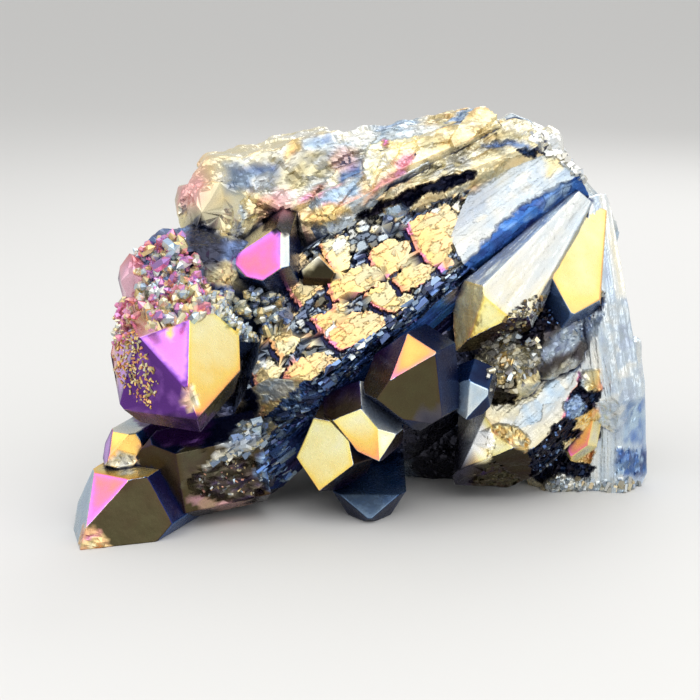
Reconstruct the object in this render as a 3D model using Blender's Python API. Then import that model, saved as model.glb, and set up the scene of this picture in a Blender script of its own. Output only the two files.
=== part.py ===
"""Aura quartz cluster: a fan of quartz crystals that grew together, broken off at its root.

Metres, +Z up. The large points end at the front, which faces -Y, and the fan spreads from a
broken root at the upper right. The origin is under the middle of the cluster, on the surface
that it rests on. Sizes are millimetres until the last step, which turns them into metres.
"""

import math
import random

import bmesh
import bpy
from mathutils import Matrix, Vector
from mathutils.bvhtree import BVHTree

MM = 0.001
NODE_NAME = "quartz_cluster"

# Quartz: six prism sides, and tip faces whose normals lean 51.8 degrees off the long axis.
SIDES = 6
TIP_FACE_LEAN = math.radians(51.8)

# Large points. A point's azimuth is 0 towards the front and grows to the right. Its sides are
# the distances from its axis to its six prism sides, and tip_faces how far each tip face stands
# beyond the tip, both counted from the side that its roll names.
POINTS = {
    "great_point": {
        "tip": (-18.2, -24.0, 19.2), "azimuth": 16, "elevation": -11, "roll": -13, "length": 19,
        "sides": (7.0, 7.3, 5.1, 6.3, 5.5, 6.5), "tip_faces": (2.0, 0, 0, 0, 3, 4)},
    "foot_point": {
        "tip": (-30.5, -20.0, 2.2), "azimuth": -29, "elevation": -5.5, "roll": -31, "length": 24,
        "sides": (6.5, 5.5, 4.3, 5.0, 5.5, 6.0), "tip_faces": (3.0, 0, 0, 0, 3, 4)},
    "side_point": {
        "tip": (-28.5, -14.0, 8.8), "azimuth": -29, "elevation": -5.5, "roll": -31, "length": 20,
        "sides": (2.6, 2.5, 2.0, 2.5, 2.6, 2.6), "tip_faces": (1.0, 0, 0, 0, 1, 1)},
    "low_point": {
        "tip": (-23.8, -12.5, 5.5), "azimuth": -75, "elevation": -8, "roll": 0, "length": 13,
        "sides": (3.5, 4.9, 5.0, 5.0, 5.0, 4.9), "tip_faces": (1.0, 3.5, 3, 1, 3, 3.5)},
    "middle_point": {
        "tip": (3.7, -17.0, 18.7), "azimuth": -33.2, "elevation": -3, "roll": 5.7, "length": 9,
        "sides": (3.5, 3.6, 3.8, 5.0, 5.5, 6.5), "tip_faces": (0, 0, 0, 2.8, 2.6, 3.0)},
    "rose_point": {
        "tip": (-8.6, -14.0, 25.4), "azimuth": -5, "elevation": -13.6, "roll": 5.5, "length": 16,
        "sides": (1.0, 6.0, 6.5, 8.0, 6.5, 6.5), "tip_faces": (5, 0, 0, 0, -3.4, -5.2)},
    "bright_point": {
        "tip": (2.5, -16.0, 8.8), "azimuth": 3.5, "elevation": -39.5, "roll": 3.4, "length": 9,
        "sides": (3.0, 2.2, 3.9, 6.0, 5.0, 3.0), "tip_faces": (0, 0, 0, 0.9, 0, 0.3)},
    "golden_point": {
        "tip": (-4.2, -13.5, 4.6), "azimuth": -32, "elevation": -42, "roll": 28, "length": 12,
        "sides": (4.5, 5.0, 4.2, 3.5, 4.0, 4.0), "tip_faces": (2.5, 0, 2.5, 0.3, 2.0, 0)},
    "small_point": {
        "tip": (-4.5, -5.5, 30.6), "azimuth": 4, "elevation": 59, "roll": 24, "length": 6,
        "sides": (2.2, 3.0, 2.2, 3.0, 2.2, 3.0), "tip_faces": (0, 2, 0, 2, 0, 2)},
    "blue_point": {
        "tip": (12.7, -13.0, 13.9), "azimuth": -20, "elevation": -35, "roll": 0, "length": 6,
        "sides": (2.0, 2.0, 2.2, 2.4, 2.2, 2.2), "tip_faces": (0.3, 0, 0, 1.0, 1.0, 1.0)},
    "slate_point": {
        "tip": (1.5, -12.5, 1.2), "azimuth": 0, "elevation": -8, "roll": 30, "length": 22,
        "sides": (5.5, 1.6, 5.5, 3.0, 3.0, 3.0), "tip_faces": (3.0, 0, 3.0, 0.5, 0.5, 0.5)},
    "step_high": {
        "tip": (28.5, -0.5, 13.0), "azimuth": -35, "elevation": -70, "roll": 10, "length": 9,
        "sides": (1.5, 1.6, 1.4, 1.6, 1.5, 1.6), "tip_faces": (0, 1.0, 0.8, 0, 0.6, 0)},
    "step_middle": {
        "tip": (27.5, -1.0, 8.5), "azimuth": -35, "elevation": -70, "roll": 10, "length": 9,
        "sides": (1.6, 1.5, 1.6, 1.5, 1.6, 1.5), "tip_faces": (0, 1.0, 0.8, 0, 0.6, 0)},
    "step_low": {
        "tip": (27.0, -1.5, 4.0), "azimuth": -35, "elevation": -70, "roll": 10, "length": 9,
        "sides": (1.9, 1.8, 1.9, 1.8, 1.9, 1.8), "tip_faces": (0, 1.0, 0.8, 0, 0.6, 0)},
}

# Ribs: the long crystals that make the fan, each from its broken root to its free end.
RIBS = {
    "mosaic": {
        "tip": (-14.0, -7.5, 13.0), "root": (24.5, 5.0, 40.0), "roll": -20,
        "sides": (7, 5, 11, 8, 7, 7), "root_scale": 0.75, "tip_faces": (0, 1, 0, 2, 4, 2)},
    "rose_rib": {
        "tip": (-8.5, 2.5, 32.5), "root": (24.0, 5.5, 43.0), "roll": -20,
        "sides": (4, 4, 5, 6, 6, 6), "root_scale": 0.8, "tip_faces": (2, 2, 2, 2, 4, 2)},
    "crest_left": {
        "tip": (-19.5, 1.0, 35.5), "root": (-2.0, 7.5, 39.5), "roll": -30,
        "sides": (7, 5, 5, 6, 6, 6), "root_scale": 0.9, "tip_faces": (0, 0, 2, 2, 4, 2)},
    "crest_middle": {
        "tip": (-5.5, 7.0, 37.5), "root": (15.5, 11.5, 41.5), "roll": -30,
        "sides": (5, 5, 5, 5, 5, 5), "root_scale": 0.9, "tip_faces": (2, 2, 2, 2, 4, 2)},
    "crest_high": {
        "tip": (5.5, 10.0, 39.5), "root": (20.5, 12.0, 35.0), "roll": -30,
        "sides": (5, 6, 6, 6, 6, 6), "root_scale": 0.9, "tip_faces": (2, 2, 2, 2, 4, 2)},
    "hollow_rib": {
        "tip": (-7.0, -0.5, 32.5), "root": (8.5, 3.5, 40.0), "roll": -20,
        "sides": (2.5, 3, 3, 4, 5, 5), "root_scale": 0.9, "tip_faces": (0, 0, 1, 2, 4, 2)},
    "yellow_end": {
        "tip": (1.0, 1.5, 37.5), "root": (17.0, 6.0, 44.0), "roll": -20,
        "sides": (2.5, 3, 3, 4, 5, 5), "root_scale": 0.9, "tip_faces": (0, 0, 0, 2, 4, 2)},
    "upper_streak": {
        "tip": (4.5, 0.5, 35.5), "root": (22.5, 3.5, 42.0), "roll": -20,
        "sides": (2, 3, 2.4, 4, 5, 5), "root_scale": 0.9, "tip_faces": (2, 2, 2, 2, 4, 2)},
    "groove": {
        "tip": (-14.5, -5.5, 4.0), "root": (9.5, -2.0, 25.0), "roll": -20,
        "sides": (3.5, 3, 5, 5, 5, 5), "root_scale": 0.8, "tip_faces": (2, 2, 2, 2, 4, 2)},
    "cream_blade": {
        "tip": (13.0, -7.5, 21.0), "root": (27.0, 1.0, 36.5), "roll": -30,
        "sides": (5.8, 4, 5, 5, 5, 5), "root_scale": 0.25, "tip_faces": (0, 0, 0, 2, 4, 2)},
    "gold_blade": {
        "tip": (25.0, -2.5, 24.5), "root": (28.0, 2.5, 35.0), "roll": -20,
        "sides": (4.5, 3, 4, 4, 4, 4), "root_scale": 0.5, "tip_faces": (0, 1, 0, 2, 2, 2)},
    "lower_blade": {
        "tip": (14.0, -5.5, 4.0), "root": (28.0, 2.5, 15.0), "roll": -20,
        "sides": (6, 4.5, 6, 6, 6, 6), "root_scale": 0.85, "tip_faces": (0, 0, 0, 1, 4, 2)},
    "right_upper": {
        "tip": (31.5, 0.0, 10.5), "root": (27.5, 4.0, 36.0), "roll": -20,
        "sides": (3.5, 3.5, 3.5, 4, 4, 4), "root_scale": 0.8, "tip_faces": (2, 2, 2, 2, 4, 2)},
    "right_edge": {
        "tip": (31.5, 3.0, -2.0), "root": (31.0, 4.5, 18.0), "roll": 0,
        "sides": (4, 4, 4, 4, 4, 4), "root_scale": 0.9, "tip_faces": (2, 2, 2, 2, 4, 2)},
    "right_middle": {
        "tip": (27.0, 3.5, -1.0), "root": (27.5, 6.0, 28.5), "roll": 0,
        "sides": (4.5, 4.5, 4.5, 5, 5, 5), "root_scale": 0.8, "tip_faces": (2, 2, 2, 2, 4, 2)},
    "right_foot": {
        "tip": (24.5, 3.0, -1.5), "root": (30.0, 5.0, 18.5), "roll": 0,
        "sides": (4.5, 4.5, 4.5, 5, 5, 5), "root_scale": 0.8, "tip_faces": (2, 2, 2, 2, 4, 2)},
    "back_crest": {
        "tip": (-22.0, 7.0, 30.0), "root": (18.0, 11.0, 36.0), "roll": 0,
        "sides": (6, 6, 5, 6, 6, 6), "root_scale": 0.7, "tip_faces": (2, 0, 2, 0, 1, 2)},
    "back_left": {
        "tip": (-26.0, 5.0, 12.0), "root": (8.0, 9.0, 26.0), "roll": 15,
        "sides": (6, 6, 6, 5, 6, 6), "root_scale": 0.8, "tip_faces": (1, 0, 2, 0, 0, 2)},
    "back_middle": {
        "tip": (-14.0, 17.0, 21.0), "root": (16.0, 10.0, 36.0), "roll": 25,
        "sides": (5, 5, 5, 5, 5, 5), "root_scale": 0.7, "tip_faces": (2, 0, 2, 0, 1, 0)},
    "back_low": {
        "tip": (-8.0, 20.0, 6.0), "root": (16.0, 9.0, 30.0), "roll": 5,
        "sides": (5, 6, 5, 5, 5, 5), "root_scale": 0.7, "tip_faces": (2, 1, 0, 0, 1, 0)},
    "back_foot": {
        "tip": (8.0, 21.0, 3.0), "root": (21.0, 10.0, 32.0), "roll": 40,
        "sides": (5, 5, 5, 5, 6, 5), "root_scale": 0.7, "tip_faces": (2, 0, 2, 0, 1, 0)},
    "back_right": {
        "tip": (22.0, 18.0, 0.0), "root": (24.0, 9.0, 34.0), "roll": 10,
        "sides": (5, 5, 5, 5, 5, 5), "root_scale": 0.7, "tip_faces": (2, 0, 1, 0, 1, 0)},
    "back_toe": {
        "tip": (-18.0, 13.0, 3.0), "root": (4.0, 8.0, 22.0), "roll": 30,
        "sides": (5, 5, 5, 4, 5, 5), "root_scale": 0.8, "tip_faces": (0, 1, 0, 2, 0, 1)},
}

# The broken quartz behind the crystals: lumps given by middle and half sizes.
LUMPS = {
    "heart": {"middle": (2, 7, 21), "half": (22, 12, 17)},
    "base": {"middle": (11, 11, 5), "half": (20, 10, 9)},
    "left_shoulder": {"middle": (-18, -3, 23.5), "half": (9.5, 8, 11)},
    "foot_bed": {"middle": (-16, -2, 6), "half": (9, 8, 7)},
    "root_top": {"middle": (19, 10, 36), "half": (10, 8, 9)},
    "root_side": {"middle": (24, 9, 30), "half": (8.5, 9, 10)},
    "right_hollow": {"middle": (20, -1, 20), "half": (8, 6, 6)},
    "rough_ledge": {"middle": (18, -3, 16), "half": (4.5, 4.5, 4)},
}
LUMP_BREAKS = 48
LUMP_DEPTH = (0.84, 1.0)
LUMP_SEED = 11

# Growth plates that step down the mosaic rib like shingles, each raised at its free end.
PLATES = {
    "rib": "mosaic", "seed": 5, "rows": 7, "first": 4.0, "last": 34.0, "reach": (-5.0, 6.5),
    "length": 3.4, "width": 1.9, "thickness": 1.6, "rise": 9.0, "spread": 0.35}

# Long growth steps that run along a rib's side: how many, and how far across the side they lie.
STEPS = {
    "crest_left": {"side": 1, "count": 8, "reach": (-7.0, 1.0)},
    "crest_middle": {"side": 1, "count": 6, "reach": (-5.0, 1.0)},
    "crest_high": {"side": 1, "count": 6, "reach": (-5.0, 1.0)},
    "rose_rib": {"side": 1, "count": 7, "reach": (-4.0, 5.0)},
    "cream_blade": {"side": 1, "count": 4, "reach": (-3.0, 2.0)},
    "lower_blade": {"side": 1, "count": 5, "reach": (-3.0, 4.0)},
    "right_upper": {"side": 0, "count": 5, "reach": (-2.0, 2.0)},
    "right_middle": {"side": 5, "count": 4, "reach": (-2.0, 2.0)},
    "right_edge": {"side": 5, "count": 4, "reach": (-2.0, 2.0)},
    "back_crest": {"side": 3, "count": 5, "reach": (-3.0, 3.0)},
    "back_middle": {"side": 2, "count": 4, "reach": (-2.5, 2.5)},
    "back_foot": {"side": 2, "count": 4, "reach": (-2.5, 2.5)},
    "back_right": {"side": 2, "count": 4, "reach": (-2.5, 2.5)},
}
STEP_SEED = 17
STEP_LENGTH = (0.25, 0.6)
STEP_WIDTH = (0.5, 1.3)
STEP_THICKNESS = 1.2
STEP_RELIEF = (-0.45, -0.2)

# Patches of small crystals: where each is centred, the way it faces, and how far it spreads.
DRUSE = {
    "shoulder": {"centre": (-21, -12, 28), "facing": (-0.4, -0.7, 0.5), "spread": 7.5, "count": 46},
    "under_rose": {"centre": (-11, -14, 24), "facing": (0.0, -0.8, 0.5), "spread": 4, "count": 16},
}
DRUSE_SEED = 23
DRUSE_GIRTH = (0.5, 1.1)
DRUSE_SINK = 1.0

GROUND = 200.0
MERGE = 0.001
COATING = {"colour": (0.62, 0.50, 0.34, 1.0), "metallic": 0.85, "roughness": 0.25}


def clear_scene():
    """Removes what the scene holds."""
    for thing in list(bpy.data.objects):
        bpy.data.objects.remove(thing, do_unlink=True)


def slice_off(bm, point, normal):
    """Cuts a convex solid flat at a plane, and throws the outer part away."""
    whole = bm.verts[:] + bm.edges[:] + bm.faces[:]
    cut = bmesh.ops.bisect_plane(bm, geom=whole, plane_co=point, plane_no=normal, clear_outer=True)
    rim = [piece for piece in cut["geom_cut"] if isinstance(piece, bmesh.types.BMEdge)]
    if rim:
        bmesh.ops.edgeloop_fill(bm, edges=rim)


def crystal_directions(axis, roll):
    """The six directions square to a crystal's axis, one for each prism side."""
    level = Vector((0, 0, 1)).cross(axis).normalized()
    upward = axis.cross(level)
    turns = [math.radians(roll) + math.tau * side / SIDES for side in range(SIDES)]
    return [math.cos(turn) * level + math.sin(turn) * upward for turn in turns]


def crystal(tip, root, roll, sides, tip_faces, root_scale=1.0):
    """One six-sided crystal from its root to its tip, narrower at the root by root_scale."""
    tip, root = Vector(tip), Vector(root)
    axis = (tip - root).normalized()
    length = (tip - root).length
    reach = 2.0 * max(sides)
    bm = bmesh.new()
    blank = axis.to_track_quat("Z", "Y").to_matrix().to_4x4()
    bmesh.ops.create_cone(
        bm, cap_ends=True, segments=SIDES, radius1=reach, radius2=reach, depth=length + reach,
        matrix=Matrix.Translation(root + axis * (length + reach) / 2) @ blank)
    for outward, side, beyond in zip(crystal_directions(axis, roll), sides, tip_faces):
        lean = side * (1.0 - root_scale) / length
        slice_off(bm, tip + outward * side, (outward - axis * lean).normalized())
        face = math.cos(TIP_FACE_LEAN) * axis + math.sin(TIP_FACE_LEAN) * outward
        slice_off(bm, tip + face * beyond, face)
    bmesh.ops.recalc_face_normals(bm, faces=bm.faces[:])
    return bm


def point_crystal(spec):
    """A large point, from its tip and the way it points."""
    turn, climb = math.radians(spec["azimuth"]), math.radians(spec["elevation"])
    axis = Vector((
        math.sin(turn) * math.cos(climb), -math.cos(turn) * math.cos(climb), math.sin(climb)))
    tip = Vector(spec["tip"])
    return crystal(tip, tip - axis * spec["length"], spec["roll"], spec["sides"], spec["tip_faces"])


def lump(spec, rng):
    """A rough lump, broken flat all round."""
    bm = bmesh.new()
    bmesh.ops.create_icosphere(bm, subdivisions=1, radius=1.4)
    for _ in range(LUMP_BREAKS):
        way = Vector([rng.gauss(0, 1) for _ in range(3)]).normalized()
        slice_off(bm, way * rng.uniform(*LUMP_DEPTH), way)
    bmesh.ops.recalc_face_normals(bm, faces=bm.faces[:])
    bmesh.ops.transform(
        bm, verts=bm.verts[:],
        matrix=Matrix.Translation(spec["middle"]) @ Matrix.Diagonal((*spec["half"], 1.0)))
    return bm


def to_object(bm, name, collection):
    """Makes an object of a bmesh."""
    mesh = bpy.data.meshes.new(name)
    bm.to_mesh(mesh)
    bm.free()
    made = bpy.data.objects.new(name, mesh)
    collection.objects.link(made)
    return made


def combine(body, others, operation, cutters):
    """Unites a body with other solids, or takes them away from it."""
    for number, bm in enumerate(others):
        other = to_object(bm, f"{operation.lower()}_{number}", cutters)
        other.hide_render = True
        other.display_type = "WIRE"
    boolean = body.modifiers.new(operation.lower(), "BOOLEAN")
    boolean.operation = operation
    boolean.solver = "MANIFOLD"  # EXACT leaves open slivers where this many plates meet
    boolean.operand_type = "COLLECTION"
    boolean.collection = cutters
    seen = body.evaluated_get(bpy.context.evaluated_depsgraph_get())
    mesh = bpy.data.meshes.new_from_object(seen)
    body.modifiers.clear()
    body.data = mesh
    for other in list(cutters.objects):
        bpy.data.objects.remove(other, do_unlink=True)


def ground():
    """A block that fills everything below the surface that the cluster rests on."""
    bm = bmesh.new()
    bmesh.ops.create_cube(bm, size=GROUND)
    bmesh.ops.translate(bm, verts=bm.verts[:], vec=(0, 0, -GROUND / 2))
    return bm


def loose_parts(bm):
    """The separate bodies in a bmesh, largest first, each a list of its vertices."""
    left = set(bm.verts)
    parts = []
    while left:
        front = [left.pop()]
        part = []
        while front:
            vert = front.pop()
            part.append(vert)
            near = [edge.other_vert(vert) for edge in vert.link_edges]
            front += [other for other in near if other in left]
            left.difference_update(near)
        parts.append(part)
    return sorted(parts, key=len, reverse=True)


def settled(body):
    """Drops what isn't attached, centres the cluster, and turns millimetres into metres."""
    bm = bmesh.new()
    bm.from_mesh(body.data)
    bmesh.ops.triangulate(bm, faces=bm.faces[:])
    bmesh.ops.remove_doubles(bm, verts=bm.verts[:], dist=MERGE)
    for part in loose_parts(bm)[1:]:
        bmesh.ops.delete(bm, geom=part, context="VERTS")
    low = [min(vert.co[way] for vert in bm.verts) for way in range(3)]
    high = [max(vert.co[way] for vert in bm.verts) for way in range(3)]
    middle = Vector(((low[0] + high[0]) / 2, (low[1] + high[1]) / 2, low[2]))
    bmesh.ops.translate(bm, verts=bm.verts[:], vec=-middle)
    bmesh.ops.scale(bm, verts=bm.verts[:], vec=(MM, MM, MM))
    bm.to_mesh(body.data)
    bm.free()


def rib_frame(spec, side):
    """Where a side of a rib lies: a point on it at the tip, the way to the root, the way
    across, and the way out."""
    tip, root = Vector(spec["tip"]), Vector(spec["root"])
    axis = (tip - root).normalized()
    outward = crystal_directions(axis, spec["roll"])[side]
    far, length = spec["sides"][side], (tip - root).length
    lean = far * (1.0 - spec["root_scale"]) / length
    outward_on_face = (outward - axis * lean).normalized()
    to_root = -(axis - outward_on_face * axis.dot(outward_on_face)).normalized()
    return tip + outward * far, to_root, outward_on_face.cross(to_root), outward_on_face


def slab(centre, to_root, across, outward, size, turn):
    """A flat block on a rib's side, turned a little from it."""
    bm = bmesh.new()
    bmesh.ops.create_cube(bm, size=1.0)
    place = Matrix((to_root, across, outward)).transposed().to_4x4()
    bmesh.ops.transform(
        bm, verts=bm.verts[:],
        matrix=Matrix.Translation(centre) @ place @ turn @ Matrix.Diagonal((*size, 1.0)))
    return bm


def plates():
    """The mosaic rib's growth plates."""
    rng = random.Random(PLATES["seed"])
    start, to_root, across, outward = rib_frame(RIBS[PLATES["rib"]], 1)
    solids = []
    low, high = PLATES["reach"]
    for row in range(PLATES["rows"]):
        aside = low + (high - low) * (row + 0.5) / PLATES["rows"]
        along = PLATES["first"] + PLATES["length"] * rng.random()
        while along < PLATES["last"]:
            length = PLATES["length"] * (1.0 + PLATES["spread"] * rng.uniform(-1, 1))
            width = PLATES["width"] * rng.uniform(0.8, 1.15)
            turn = Matrix.Rotation(math.radians(rng.uniform(-12, 12)), 4, "Z")
            turn @= Matrix.Rotation(math.radians(PLATES["rise"] * rng.uniform(0.5, 1.4)), 4, "Y")
            centre = start + to_root * along + across * aside + outward * rng.uniform(-0.3, 0.3)
            size = (length, width, PLATES["thickness"])
            solids.append(slab(centre, to_root, across, outward, size, turn))
            along += length * rng.uniform(1.0, 1.25)
    return solids


def steps():
    """The long growth steps on the ribs' sides."""
    rng = random.Random(STEP_SEED)
    solids = []
    for name, plan in STEPS.items():
        spec = RIBS[name]
        start, to_root, across, outward = rib_frame(spec, plan["side"])
        whole = (Vector(spec["tip"]) - Vector(spec["root"])).length
        for _ in range(plan["count"]):
            length = whole * rng.uniform(*STEP_LENGTH)
            along = rng.uniform(0.1 * whole + length / 2, 0.95 * whole - length / 2)
            aside = rng.uniform(*plan["reach"]) * (1.0 - (1.0 - spec["root_scale"]) * along / whole)
            centre = start + to_root * along + across * aside
            centre += outward * rng.uniform(*STEP_RELIEF)
            turn = Matrix.Rotation(math.radians(rng.uniform(-3, 3)), 4, "Z")
            turn @= Matrix.Rotation(math.radians(rng.uniform(-14, 14)), 4, "X")
            size = (length, rng.uniform(*STEP_WIDTH), STEP_THICKNESS)
            solids.append(slab(centre, to_root, across, outward, size, turn))
    return solids


def druse(tree):
    """Small six-sided crystals that stand on the surface around each patch's centre."""
    rng = random.Random(DRUSE_SEED)
    solids = []
    for patch in DRUSE.values():
        facing = Vector(patch["facing"]).normalized()
        level, upward = crystal_directions(facing, 0)[0], crystal_directions(facing, 90)[0]
        for _ in range(patch["count"]):
            turn, far = rng.uniform(0, math.tau), patch["spread"] * math.sqrt(rng.random())
            above = Vector(patch["centre"]) + facing * 12
            above += level * math.cos(turn) * far + upward * math.sin(turn) * far
            foot, normal, _face, _far = tree.ray_cast(above, -facing)
            girth = rng.uniform(*DRUSE_GIRTH)
            if foot is None:
                continue
            lean = Vector([rng.uniform(-0.5, 0.5) for _ in range(3)])
            axis = (normal + facing * 0.5 + lean).normalized()
            tall = girth * rng.uniform(1.6, 2.6)
            bm = bmesh.new()
            bmesh.ops.create_cone(
                bm, cap_ends=True, segments=SIDES, radius1=girth, radius2=girth * 0.1,
                depth=tall + DRUSE_SINK,
                matrix=Matrix.Translation(foot + axis * (tall - DRUSE_SINK) / 2)
                @ axis.to_track_quat("Z", "Y").to_matrix().to_4x4())
            solids.append(bm)
    return solids


def coated_quartz():
    """The quartz's metal coating."""
    material = bpy.data.materials.new("aura_coating")
    material.use_nodes = True
    shader = material.node_tree.nodes["Principled BSDF"]
    shader.inputs["Base Color"].default_value = COATING["colour"]
    shader.inputs["Metallic"].default_value = COATING["metallic"]
    shader.inputs["Roughness"].default_value = COATING["roughness"]
    return material


def build():
    clear_scene()
    cluster = bpy.data.collections.new("aura_quartz_cluster")
    cutters = bpy.data.collections.new("cutters")
    bpy.context.scene.collection.children.link(cluster)
    bpy.context.scene.collection.children.link(cutters)
    rng = random.Random(LUMP_SEED)
    core, *growths = [lump(spec, rng) for spec in LUMPS.values()]
    growths += [crystal(**spec) for spec in RIBS.values()]
    growths += [point_crystal(spec) for spec in POINTS.values()]
    growths += plates() + steps()
    body = to_object(core, NODE_NAME, cluster)
    combine(body, growths, "UNION", cutters)
    tree = BVHTree.FromObject(body, bpy.context.evaluated_depsgraph_get())
    combine(body, druse(tree), "UNION", cutters)
    combine(body, [ground()], "DIFFERENCE", cutters)
    settled(body)
    body.data.materials.clear()
    body.data.materials.append(coated_quartz())


build()
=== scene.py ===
import math
import random

import bmesh
import bpy
from mathutils import Matrix, Vector, noise
from mathutils.bvhtree import BVHTree


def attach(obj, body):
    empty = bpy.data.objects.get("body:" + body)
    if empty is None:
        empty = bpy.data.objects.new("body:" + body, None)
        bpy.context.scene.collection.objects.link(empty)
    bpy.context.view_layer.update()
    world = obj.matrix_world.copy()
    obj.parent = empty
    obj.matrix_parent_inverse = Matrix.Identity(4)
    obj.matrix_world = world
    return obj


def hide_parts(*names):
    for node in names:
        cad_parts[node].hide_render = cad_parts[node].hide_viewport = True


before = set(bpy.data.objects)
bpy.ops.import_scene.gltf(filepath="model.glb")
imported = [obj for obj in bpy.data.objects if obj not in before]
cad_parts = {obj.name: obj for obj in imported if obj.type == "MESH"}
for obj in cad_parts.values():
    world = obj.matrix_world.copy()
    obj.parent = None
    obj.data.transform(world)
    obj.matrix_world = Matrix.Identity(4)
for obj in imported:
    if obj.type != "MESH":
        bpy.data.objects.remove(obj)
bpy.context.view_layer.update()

noiseSeed = 5
noise.seed_set(noiseSeed)  # without it, noise vectors differ from run to run
mm = 0.001
boxMiddle = Vector((1.5236, -0.2353, 0.0))  # the crystals' own coordinates, in mm, count from here
tipFaceLean = math.radians(51.8)  # quartz: the tip faces lean this much off the long axis
shortestEdge = 0.02
onFace = 0.05  # how near a vertex lies to the plane of a face that it belongs to
down = Vector((0, 0, -1))

studio = {
    "aim": (-0.8, 0.0, 17.9), "distance": 201.1, "elevation": 14.0, "lens": 85.0, "clip": 0.01,
    "lampAim": (0, 0, 20), "world": 0.80, "floor": (0.66, 0.655, 0.64), "floorSize": 3.0,
    "floorRough": 0.9}

# each soft light: where it stands round the cluster, its width in mm, and its power
lights = {
    "key": {"azimuth": -20, "elevation": 58, "away": 360, "size": 420, "watts": 0.56},
    "fill": {"azimuth": 44, "elevation": 36, "away": 360, "size": 420, "watts": 0.46},
    "left": {"azimuth": -85, "elevation": 40, "away": 330, "size": 260, "watts": 0.16},
    "rim": {"azimuth": 160, "elevation": 35, "away": 330, "size": 200, "watts": 0.24}}

# film thickness runs from 0 to 1 through the coating's colours
filmColours = (
    (0.00, (0.075, 0.066, 0.026)), (0.08, (0.055, 0.030, 0.012)), (0.16, (0.030, 0.008, 0.080)),
    (0.24, (0.008, 0.030, 0.180)), (0.32, (0.040, 0.170, 0.520)), (0.42, (0.450, 0.640, 0.820)),
    (0.50, (0.850, 0.850, 0.760)), (0.58, (0.900, 0.790, 0.400)), (0.66, (0.930, 0.620, 0.150)),
    (0.74, (0.930, 0.400, 0.110)), (0.82, (0.880, 0.230, 0.240)), (0.88, (0.880, 0.180, 0.560)),
    (0.94, (0.560, 0.220, 0.860)), (1.00, (0.110, 0.025, 0.230)))
paleQuartz = Vector((0.74, 0.72, 0.68))  # where the film is thin enough to let the quartz through


def filmColour(thick, pale=0.0):
    for (start, first), (end, second) in zip(filmColours, filmColours[1:]):
        if thick <= end:
            share = max(0.0, (thick - start) / (end - start))
            return Vector(first).lerp(Vector(second), share).lerp(paleQuartz, pale)
    return Vector(filmColours[-1][1]).lerp(paleQuartz, pale)


# shade scales each colour: it carries painted light and shade
plainLayers = ("film", "shade", "cover")


def coatLayers(layers):
    return (*[layers.float.new(name) for name in plainLayers], layers.float_vector.new("coverColour"))


def coatOf(layers):
    return (*[layers.float[name] for name in plainLayers], layers.float_vector["coverColour"])


def viewAxes():
    climb = math.radians(studio["elevation"])
    ahead = Vector((0, math.cos(climb), -math.sin(climb)))
    return Vector((1, 0, 0)), Vector((0, math.sin(climb), math.cos(climb))), ahead


rightWay, upWay, aheadWay = viewAxes()
eye = Vector(studio["aim"]) - aheadWay * studio["distance"]


def sight(place):  # where a place is seen, in mm right of and above the aim
    away = place - eye
    scale = studio["distance"] / away.dot(aheadWay)
    return away.dot(rightWay) * scale, away.dot(upWay) * scale


def sightLine(across, height):
    return (aheadWay * studio["distance"] + rightWay * across + upWay * height).normalized()


def inside(spot, outline):
    x, y = spot
    odd = False
    for number, (ax, ay) in enumerate(outline):
        bx, by = outline[number - 1]
        if (ay > y) != (by > y) and x < (bx - ax) * (y - ay) / (by - ay) + ax:
            odd = not odd
    return odd


def skinTree():
    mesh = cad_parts["quartz_cluster"].data
    places = [v.co / mm + boxMiddle for v in mesh.vertices]
    return BVHTree.FromPolygons(places, [tuple(p.vertices) for p in mesh.polygons])


skin = skinTree()


def sideWays(axis, roll):  # square to the axis, one for each prism side
    level = Vector((0, 0, 1)).cross(axis).normalized()
    upward = axis.cross(level)
    turns = [math.radians(roll + 60 * side) for side in range(6)]
    return [math.cos(turn) * level + math.sin(turn) * upward for turn in turns]


def pointAxis(azimuth, elevation):
    turn, climb = math.radians(azimuth), math.radians(elevation)
    return Vector((
        math.sin(turn) * math.cos(climb), -math.cos(turn) * math.cos(climb), math.sin(climb)))


def crystalPlanes(shape):
    tip = Vector(shape["tip"])
    if "root" in shape:
        root = Vector(shape["root"])
    else:
        root = tip - pointAxis(shape["azimuth"], shape["elevation"]) * shape["length"]
    axis, length = (tip - root).normalized(), (tip - root).length
    taper = 1.0 - shape.get("rootScale", 1.0)
    planes = []
    for side, outward in enumerate(sideWays(axis, shape["roll"])):
        width, beyond = shape["sides"][side], shape["tips"][side]
        lean = (outward - axis * width * taper / length).normalized()
        face = math.cos(tipFaceLean) * axis + math.sin(tipFaceLean) * outward
        planes.append((f"s{side}", tip + outward * width, lean))
        planes.append((f"t{side}", tip + face * beyond, face))
    return tip, root, axis, planes


# the right-hand outline is a smooth broken arc: where it runs, as seen
arc = ((12.8, 30.5), (17.6, 29.6), (21.9, 27.9), (25.6, 25.7), (28.6, 23.0), (30.9, 19.5), (32.6, 15.1),
    (33.9, 10.7), (34.9, 6.1), (35.5, -0.2))


def trimToArc(bm):
    for first, second in zip(arc, arc[1:]):
        outward = sightLine(*second).cross(sightLine(*first)).normalized()
        sliceOff(bm, eye, outward)


def sliceOff(bm, place, normal):
    whole = bm.verts[:] + bm.edges[:] + bm.faces[:]
    cut = bmesh.ops.bisect_plane(bm, geom=whole, plane_co=place, plane_no=normal, clear_outer=True)
    rim = [piece for piece in cut["geom_cut"] if isinstance(piece, bmesh.types.BMEdge)]
    if rim:
        bmesh.ops.edgeloop_fill(bm, edges=rim)


def standing(middle, axis):  # puts what is built along Z where it belongs
    return Matrix.Translation(middle) @ axis.to_track_quat("Z", "Y").to_matrix().to_4x4()


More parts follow.
